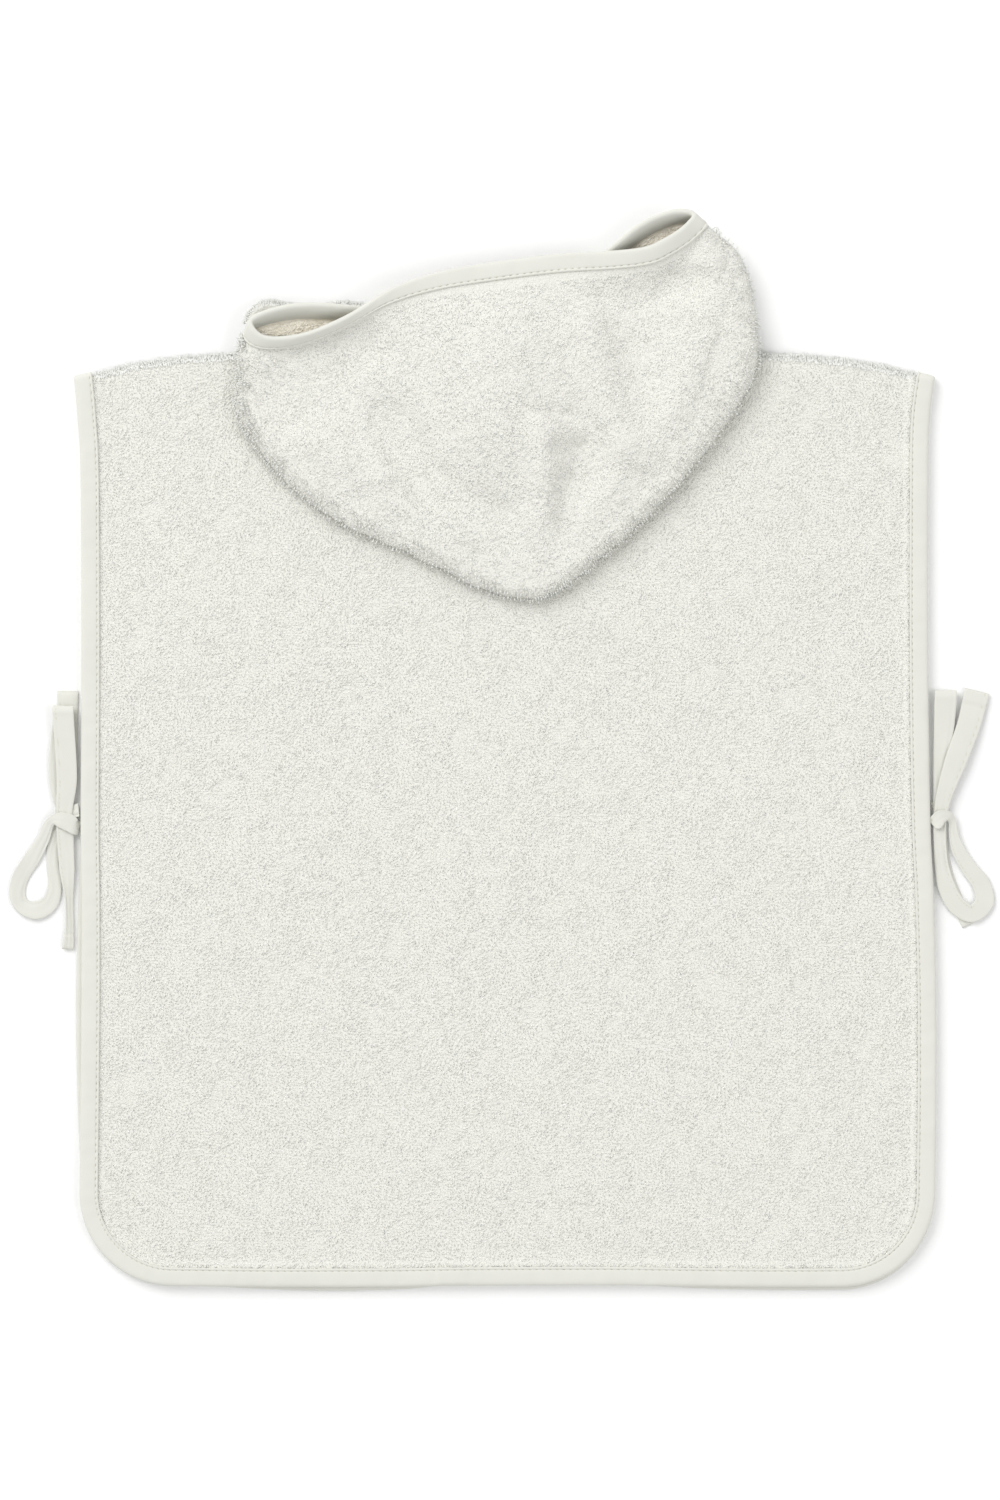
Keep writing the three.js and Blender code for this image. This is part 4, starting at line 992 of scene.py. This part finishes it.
def tape_sections(gone, seed, lap_at=None):
    """The tape's section at each station, with its stitches, ripples and lap joint, and the marks for the
    painted shade of its needle holes.
    """
    sections = np.tile(TAPE_SECTION, (len(gone), 1, 1))
    top = len(TAPE_TOP)
    ripple = layered(gone, 0, [(0.1, 13, seed), (0.08, 31, seed + 1)])
    sections[:, BAND_POINTS, 1] += ripple[:, None]
    hole_shade_marks = np.zeros(sections.shape[:2])
    at_hole = (np.round(gone) % STITCH_PITCH) == 0
    sections[at_hole, NEEDLE_POINT, 1] -= HOLE_DEPTH
    # The hole is marked for a painted shade as well as being pulled down.
    hole_shade_marks[at_hole, NEEDLE_POINT] = 1
    pulled = 0.12 * np.cos(gone / STITCH_PITCH * 2 * math.pi)
    sections[:, LIP_POINTS, 1] -= pulled[:, None]
    if lap_at is not None:
        step = LAP_HEIGHT * ease(0, 0.8, gone - lap_at) * (1 - ease(16, 22, gone - lap_at))
        sections[:, 1:top - 2, 1] += step[:, None]
    return sections, hole_shade_marks


# %% [markdown]
# One strip goes up the back, over each shoulder, down the front and round both hems. It is a
# closed ring here, and its lap joint is a small step across the back hem. The turn over the
# shoulder leans a little, because the shoulder's end does.

# %% The tape round the panels
TURN_RADIUS, TURN_STEPS = (LAYERS["back"][1] - LAYERS["front"][1]) / 2, 9
LEAN_LENGTH = 14


def edge_stations(layer, step, up):
    line = taped_edge(layer, step)
    run = unit(np.gradient(line, axis=0))
    out = np.column_stack([run[:, 1], -run[:, 0], np.zeros(len(line))])
    gone = np.arange(len(line)) * step
    for sign, from_end in ((-1, gone), (1, gone[-1] - gone)):
        lean = unit(np.array([sign, -SHOULDER_TILT, 0]))
        share = (1 - ease(0, LEAN_LENGTH, from_end))[:, None]
        out = unit(out * (1 - share) + lean * share)
    place = np.column_stack([line, np.full(len(line), LAYERS[layer][1])])
    return place, out, straight_up(len(line), up)


def shoulder_turn(place, out, steps):
    angle = np.linspace(0, math.pi, steps + 2)[1:-1, None]
    ahead = np.array([-out[1], out[0], 0]) * np.sign(out[0])
    places = place + ahead * TURN_RADIUS * np.sin(angle)
    places[:, 2:] = (LAYERS["back"][1] + LAYERS["front"][1]) / 2 + TURN_RADIUS * np.cos(angle)
    up = ahead * np.sin(angle) + np.array([0, 0, 1]) * np.cos(angle)
    return places, np.tile(out, (steps, 1)), up


def edge_tape():
    back = edge_stations("back", 1.0, 1)
    front = tuple(part[::-1] for part in edge_stations("front", 3.0, -1))
    right_turn = shoulder_turn(back[0][-1], back[1][-1], TURN_STEPS)
    left_turn = tuple(part[::-1] for part in shoulder_turn(back[0][0], back[1][0], TURN_STEPS))
    stations = [np.vstack(parts) for parts in zip(back, right_turn, front, left_turn)]
    hem_at = np.nonzero((back[0][:, 1] < -272) & (back[0][:, 0] > LAP_AT))[0][0]
    gone = np.concatenate([np.arange(len(back[0])), np.full(len(stations[0]) - len(back[0]), 1.0)])
    sections, hole_shade_marks = tape_sections(gone, 61, lap_at=float(hem_at))
    tape = sweep("edge_tape", stations, sections, tape_finish, closed=True, hole_shade_marks=hole_shade_marks)
    return tape, back


edge_binding, back_stations = edge_tape()
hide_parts("edge_binding")

# %% [markdown]
# The tape at the mouth of the hood follows the same net as the hood, so it lies on the cloth at
# every millimetre. It starts and ends at the middle of the neck, where the two ends meet.

# %% The tape at the hood's mouth


def mouth_stations():
    into = unit(hood[:, 1] - hood[:, 0])
    out = hood_out[:, 1]
    up = unit(out - into * np.sum(out * into, axis=1, keepdims=True))
    return hood[:, 0] - into * (TAPE + GAP), -into, up


mouth_at = mouth_stations()
sections, hole_shade_marks = tape_sections(np.arange(len(hood), dtype=float), 71)
mouth_tape = sweep("hood_mouth_tape", mouth_at, sections, tape_finish, hole_shade_marks=hole_shade_marks)
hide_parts("hood_binding")

# %% [markdown]
# Between two holes the thread lies on the tape as one short stitch. One stitch is modelled as
# a row of four rings that swells in the middle, and arrays place a copy after every hole.

# %% Stitches
STITCH_RINGS = [  # along, radius, lift
    (-1.55, 0.05, -0.25), (-0.9, 0.19, 0), (0.9, 0.19, 0), (1.55, 0.05, -0.25),
]
STITCH_SIDES, STITCH_INSET, STITCH_LEVEL = 5, -9.3, 1.22


def stitch_row(name, stations):
    place, out, up = stations
    middle = np.arange(STITCH_PITCH // 2, len(place) - 2, STITCH_PITCH)
    centre = place[middle] + out[middle] * STITCH_INSET + up[middle] * STITCH_LEVEL
    run = unit(place[middle + 1] - place[middle - 1])
    turn = np.arange(STITCH_SIDES) / STITCH_SIDES * 2 * math.pi
    rings = []
    for along, radius, lift in STITCH_RINGS:
        for angle in turn:
            offset = out[middle] * math.cos(angle) + up[middle] * math.sin(angle)
            rings.append(centre + run * along + offset * radius + up[middle] * lift)
    points = np.stack(rings, axis=1)
    quads = net_faces(STITCH_SIDES, len(STITCH_RINGS), closed=True)
    column, ring = quads // len(STITCH_RINGS), quads % len(STITCH_RINGS)
    one = ring * STITCH_SIDES + column
    faces = (np.arange(len(middle))[:, None, None] * points.shape[1] + one).reshape(-1, 4)
    piece = new_piece(name, points, faces, [thread_finish])
    close_up(piece)
    report(piece)
    return piece


edge_stitches = stitch_row("edge_stitches", back_stations)
mouth_stitches = stitch_row("mouth_stitches", mouth_at)

# %% [markdown]
# A tie is a strip folded in and stitched along one side, 12 to 15 mm wide. It is limp, so it
# narrows and creases where the knot grips it. Each one is swept along the frame's own route,
# which is a centripetal curve through the points below, and its section gets creases where it
# is narrow, a row of stitches near one side, and a turned hem at the free end.

# %% Routes of the ties
TIE_ROUTES = {  # place x y z, across x y z, width
    "tie_left_back": [
        (-250.4, 6.0, 4.0, 0, 1, 0, 8), (-254.5, 5.6, 2.9, 0, 1, 0, 8),
        (-260.0, 9.0, 2.5, 0.7, 0.7, 0, 8), (-262.6, 18.6, 2.5, 1, 0, 0, 9),
        (-262.6, 35.3, 2.6, 1, 0, 0, 11), (-259.6, 60.2, 3.0, 1, 0, 0, 12),
        (-259.6, 64.2, 3.2, 1, 0, 0, 12.5), (-259.6, 66.8, 4.9, 1, 0, 0, 12.5),
        (-259.6, 64.2, 6.6, 1, 0, 0, 12.5), (-259.4, 60.2, 6.5, 1, 0, 0, 12.5),
        (-257.4, 23.5, 5.0, 1, 0, 0, 12), (-258.6, 9.0, 4.3, 1, 0, 0, 10),
        (-259.0, 0.0, 4.1, 1, 0, 0, 9), (-258.4, -10.0, 3.6, 1, 0, 0, 10),
        (-257.4, -29.4, 2.9, 1, 0, 0, 9), (-256.2, -46.0, 2.4, 1, 0, -0.4, 5),
        (-256.0, -62.0, 2.0, 1, 0, -0.4, 5), (-257.0, -76.0, 1.8, 1, 0, -0.2, 7),
    ],
    "tie_left_front": [
        (-250.4, -5.0, 2.6, 0, 1, 0, 8), (-252.8, -4.0, 4.8, 0, 1, 0, 9),
        (-256.4, -1.4, 5.6, 0, 1, 0, 10.5), (-262.0, 0.2, 5.6, 0.1, 1, 0, 9),
        (-265.8, -0.2, 4.4, -0.25, 1, 0, 5.5), (-268.2, -3.0, 3.0, -0.6, 0.8, 0, 6),
        (-271.0, -10.5, 2.3, -0.85, 0.5, 0, 7), (-277.6, -22.0, 1.5, -0.85, 0.5, 0, 9.5),
        (-284.6, -33.5, 1.2, -0.9, 0.4, 0.1, 10), (-286.6, -43.5, 1.4, -1, 0, 0.2, 9.5),
        (-283.6, -50.4, 1.6, -0.8, -0.6, 0.2, 9), (-275.6, -53.0, 1.8, 0, -1, 0.1, 11),
        (-267.8, -49.0, 1.4, 0.8, -0.7, 0, 10), (-264.6, -38.2, 1.0, 1, 0, 0, 8),
        (-266.0, -26.0, 0.8, 1, 0, 0, 7), (-265.4, -15.0, 0.8, 1, 0.1, 0, 7),
        (-262.0, -4.0, 0.8, 1, 0.2, 0, 7), (-259.6, 10.0, 0.8, 1, 0.1, 0, 9),
        (-257.6, 40.0, 0.8, 1, 0, 0, 12), (-257.0, 76.0, 0.8, 1, 0.05, 0, 12.5),
    ],
    "tie_right_back": [
        (251.0, 8.0, 1.7, 0, 1, 0, 5), (253.9, 9.3, 1.0, -0.4, 1, 0, 4.5),
        (256.4, 13.5, 0.9, -0.9, 0.5, 0, 5), (257.4, 23.0, 0.8, -1, 0, 0, 8.5),
        (258.0, 47.0, 0.9, -1, 0, 0, 11.5), (258.7, 68.0, 0.9, -1, 0, 0, 13),
        (259.0, 73.4, 1.0, -1, 0, 0, 13), (259.1, 76.0, 2.7, -1, 0, 0, 13),
        (259.0, 73.4, 4.4, -1, 0, 0, 13), (258.7, 68.0, 4.3, -1, 0, 0, 13),
        (258.0, 55.0, 3.9, -1, 0, 0, 12), (256.2, 36.0, 2.9, -1, 0, 0, 9),
        (255.4, 18.0, 2.9, -1, 0, 0, 7.5), (255.4, 4.0, 2.75, -1, 0, 0, 7.5),
        (255.8, -8.0, 1.9, -1, 0, 0, 8), (257.0, -20.0, 0.9, -1, -0.1, 0, 8),
        (260.4, -34.0, 0.8, -1, -0.3, 0, 8), (266.0, -48.0, 0.8, -0.9, -0.4, 0, 8),
        (272.4, -62.0, 0.9, -0.9, -0.4, 0, 7.5),
    ],
    "tie_right_front": [
        (251.5, -3.0, 5.0, 0, 1, 0, 6), (252.9, -1.6, 5.6, 0, 1, 0, 9),
        (256.1, 1.8, 5.8, 0, 1, 0, 8.5), (260.8, 2.2, 5.0, 0.2, 1, 0, 5.5),
        (262.8, -1.0, 3.6, 0.6, 0.8, 0, 4.5), (263.6, -7.4, 2.9, 0.9, 0.4, 0, 5.5),
        (266.2, -17.0, 2.7, 0.9, 0.5, 0, 8), (272.6, -28.0, 2.2, 0.8, 0.6, 0, 9.5),
        (280.0, -38.0, 1.8, 0.85, 0.5, 0, 11), (281.6, -48.5, 2.0, 1, -0.2, 0, 11.5),
        (274.6, -55.0, 2.6, 0.3, -1, 0, 10), (265.6, -50.0, 2.8, -0.7, -0.7, 0, 11),
        (259.6, -39.0, 3.0, -0.9, -0.4, 0, 10.5), (256.6, -26.0, 3.2, -1, -0.1, 0, 8),
        (255.6, -14.0, 3.6, -1, 0, 0, 7.5), (255.6, 0.0, 3.9, -1, 0, 0, 7.5),
        (258.0, 14.0, 4.4, -1, 0.1, 0, 9.5), (264.6, 34.0, 4.8, -1, 0.35, 0, 13),
        (272.6, 56.0, 3.4, -1, 0.3, 0, 14), (277.6, 76.0, 1.8, -1, 0.25, 0, 15),
    ],
}
TIE_THICKNESS, TIE_CLEARANCE, TIE_STEPS = 0.9, 0.15, 14
TIE_HEM, TIE_STITCH_PITCH = 8, 2.4
GATHERED_WIDTHS = (7.5, 12.5)  # creased where narrower, flat where wider
TIE_ACROSS = np.array([-0.5, -0.47, -0.38, -0.33, -0.28, -0.15, 0.0, 0.15, 0.3, 0.42, 0.48, 0.5])
EDGE_STITCH_AT = 3


def centripetal(route, t):
    """Points of a centripetal curve through a route, which keeps its bends round and even."""
    route = np.vstack([2 * route[0] - route[1], route, 2 * route[-1] - route[-2]])
    last = len(route) - 4
    k = np.clip(np.floor(t).astype(int), 0, last)
    f = (t - k)[:, None]
    a, b, c, d = (route[k + step] for step in range(4))
    near, mid, far = (np.maximum(np.linalg.norm(q - p, axis=1)[:, None] ** 0.5, 1e-4)
                      for p, q in ((a, b), (b, c), (c, d)))
    left = ((b - a) / near - (c - a) / (near + mid) + (c - b) / mid) * mid
    right = ((c - b) / mid - (d - b) / (mid + far) + (d - c) / far) * mid
    cubic, square = 2 * b - 2 * c + left + right, 3 * c - 3 * b - 2 * left - right
    return ((cubic * f + square) * f + left) * f + b


def tie_stations(rows):
    rows = np.array(rows)
    t = steps_through(rows, (len(rows) - 1) * TIE_STEPS + 1)
    place = centripetal(rows[:, :3], t)
    tangent = unit(np.gradient(place, axis=0))
    turned = unit(rows[:, 3:6])
    across = np.column_stack([np.interp(t, np.arange(len(rows)), column) for column in turned.T])
    along = unit(across - tangent * np.sum(across * tangent, axis=1, keepdims=True))
    up = np.cross(tangent, along)
    return place, along, up, np.interp(t, np.arange(len(rows)), rows[:, 6])


def tie(name, rows, seed):
    place, along, up, width = tie_stations(rows)
    lowest = place[:, 2] - np.abs(along[:, 2]) * width / 2 - np.abs(up[:, 2]) * TIE_THICKNESS / 2
    place[:, 2] += np.maximum(0, TIE_CLEARANCE - lowest)
    gone = np.concatenate([[0], np.cumsum(np.linalg.norm(np.diff(place, axis=0), axis=1))])
    gathered = (1 - ease(*GATHERED_WIDTHS, width))[:, None]
    crease = 0.22 * gathered * np.cos(TIE_ACROSS * 15 + 2 * waves(gone, 0, 40, seed)[:, None])
    crease = crease + 0.12 * waves(gone[:, None] + 0 * TIE_ACROSS, TIE_ACROSS * 18, 22, seed + 1)
    half = np.full((len(place), len(TIE_ACROSS)), TIE_THICKNESS / 2)
    half[:, [0, -1]] *= 0.25
    half[:, [1, -2]] *= 0.75
    half[:, EDGE_STITCH_AT] -= 0.16
    from_end = gone[-1] - gone
    half[(from_end > 1) & (from_end < TIE_HEM)] += 0.4
    half[np.abs(from_end - TIE_HEM - 0.6) < 0.9] -= 0.2
    half[from_end < 0.5] *= 0.5
    hole_shade_marks = np.zeros((len(place), 2 * len(TIE_ACROSS)))
    # The stitch holes along one side are marked for a half-strength painted shade.
    hole_shade_marks[np.round(gone / TIE_STITCH_PITCH % 1, 1) < 0.25, EDGE_STITCH_AT] = 0.5
    reach = np.tile(TIE_ACROSS, (len(place), 1)) * width[:, None]
    upper = np.stack([reach, crease + half], axis=-1)
    lower = np.stack([reach, crease - half], axis=-1)[:, ::-1]
    sections = np.concatenate([upper, lower], axis=1)
    piece = sweep(name, (place, along, up), sections, tie_finish, hole_shade_marks=hole_shade_marks)
    return piece, gone[-1], width


ties = {}
for k, (node, rows) in enumerate(TIE_ROUTES.items()):
    piece, length, width = tie(f"{node}_tape", rows, 80 + 3 * k)
    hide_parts(node)
    ties[node] = (piece, length, width)
    print(piece.name, round(length), "mm long")

# %% [markdown]
# Each sheet of cloth is measured here: half the area of its closed mesh, about one face of it, is
# printed.

# %% The area of each sheet


def area_of(piece):
    return sum(face.area for face in piece.data.polygons)


for piece in (back_ground, front_ground, hood_left_ground, hood_right_ground, edge_binding,
              mouth_tape, *[made[0] for made in ties.values()]):
    print(piece.name, "half area", round(area_of(piece) / 2, 4), "m2")

# %% [markdown]
# The poncho was photographed from straight above, so the camera looks down from 5 m through a
# long lens, and the picture is 588 mm wide and 882 mm high at the floor. A large soft light at
# the upper left, a small weak one at the right and an even sky make the shade, which lets the
# right slope and the lower folds of the hood turn grey. The floor is plain and nearly white.

# %% Floor, camera and light
PICTURE_HEIGHT, CAMERA_HEIGHT, SENSOR = 0.882, 5.0, 36.0
SKY = 0.6

bpy.ops.object.select_all(action="DESELECT")
bpy.ops.mesh.primitive_plane_add(size=30, location=(0, 0, 0))
floor = bpy.context.object
floor.name = "studio_floor"
paper = bpy.data.materials.new("matt white paper")
paper.use_nodes = True
paper_shader = paper.node_tree.nodes["Principled BSDF"]
paper_shader.inputs["Base Color"].default_value = linear("#FDFDFD")
paper_shader.inputs["Roughness"].default_value = 1.0
paper_shader.inputs["Specular IOR Level"].default_value = 0.0
floor.data.materials.append(paper)
floor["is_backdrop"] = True

bpy.ops.object.camera_add(location=(-0.0011, 0.0003, CAMERA_HEIGHT), rotation=(0, 0, 0))
camera = bpy.context.object
camera.data.sensor_fit = "VERTICAL"
camera.data.sensor_height = SENSOR
camera.data.lens = SENSOR * CAMERA_HEIGHT / PICTURE_HEIGHT
camera.data.clip_end = 100
bpy.context.scene.camera = camera


def soft_light(name, place, size, power):
    """A square soft box that points at the middle of the poncho."""
    bpy.ops.object.light_add(type="AREA", location=place)
    light = bpy.context.object
    light.name = name
    light.data.size = size
    light.data.energy = power
    light.rotation_euler = (-light.location).to_track_quat("-Z", "Y").to_euler()
    return light


soft_light("soft_box_upper_left", (-3.2, 3.4, 4.2), 4.6, 245)
soft_light("soft_box_right", (2.4, -1.0, 3.2), 2.4, 34)
world = bpy.data.worlds.new("even studio sky")
world.use_nodes = True
world.node_tree.nodes["Background"].inputs["Color"].default_value = (1, 1, 1, 1)
world.node_tree.nodes["Background"].inputs["Strength"].default_value = SKY
bpy.context.scene.world = world
bpy.context.scene.view_settings.view_transform = "Standard"

# %% [markdown]
# The last line prints the box of all the pieces that are shown, the floor aside, which tells how far the
# pile and the folds reach.

# %% Sizes and finish
low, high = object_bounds()
print("visual box", [round(v, 4) for v in (*low, *high)])
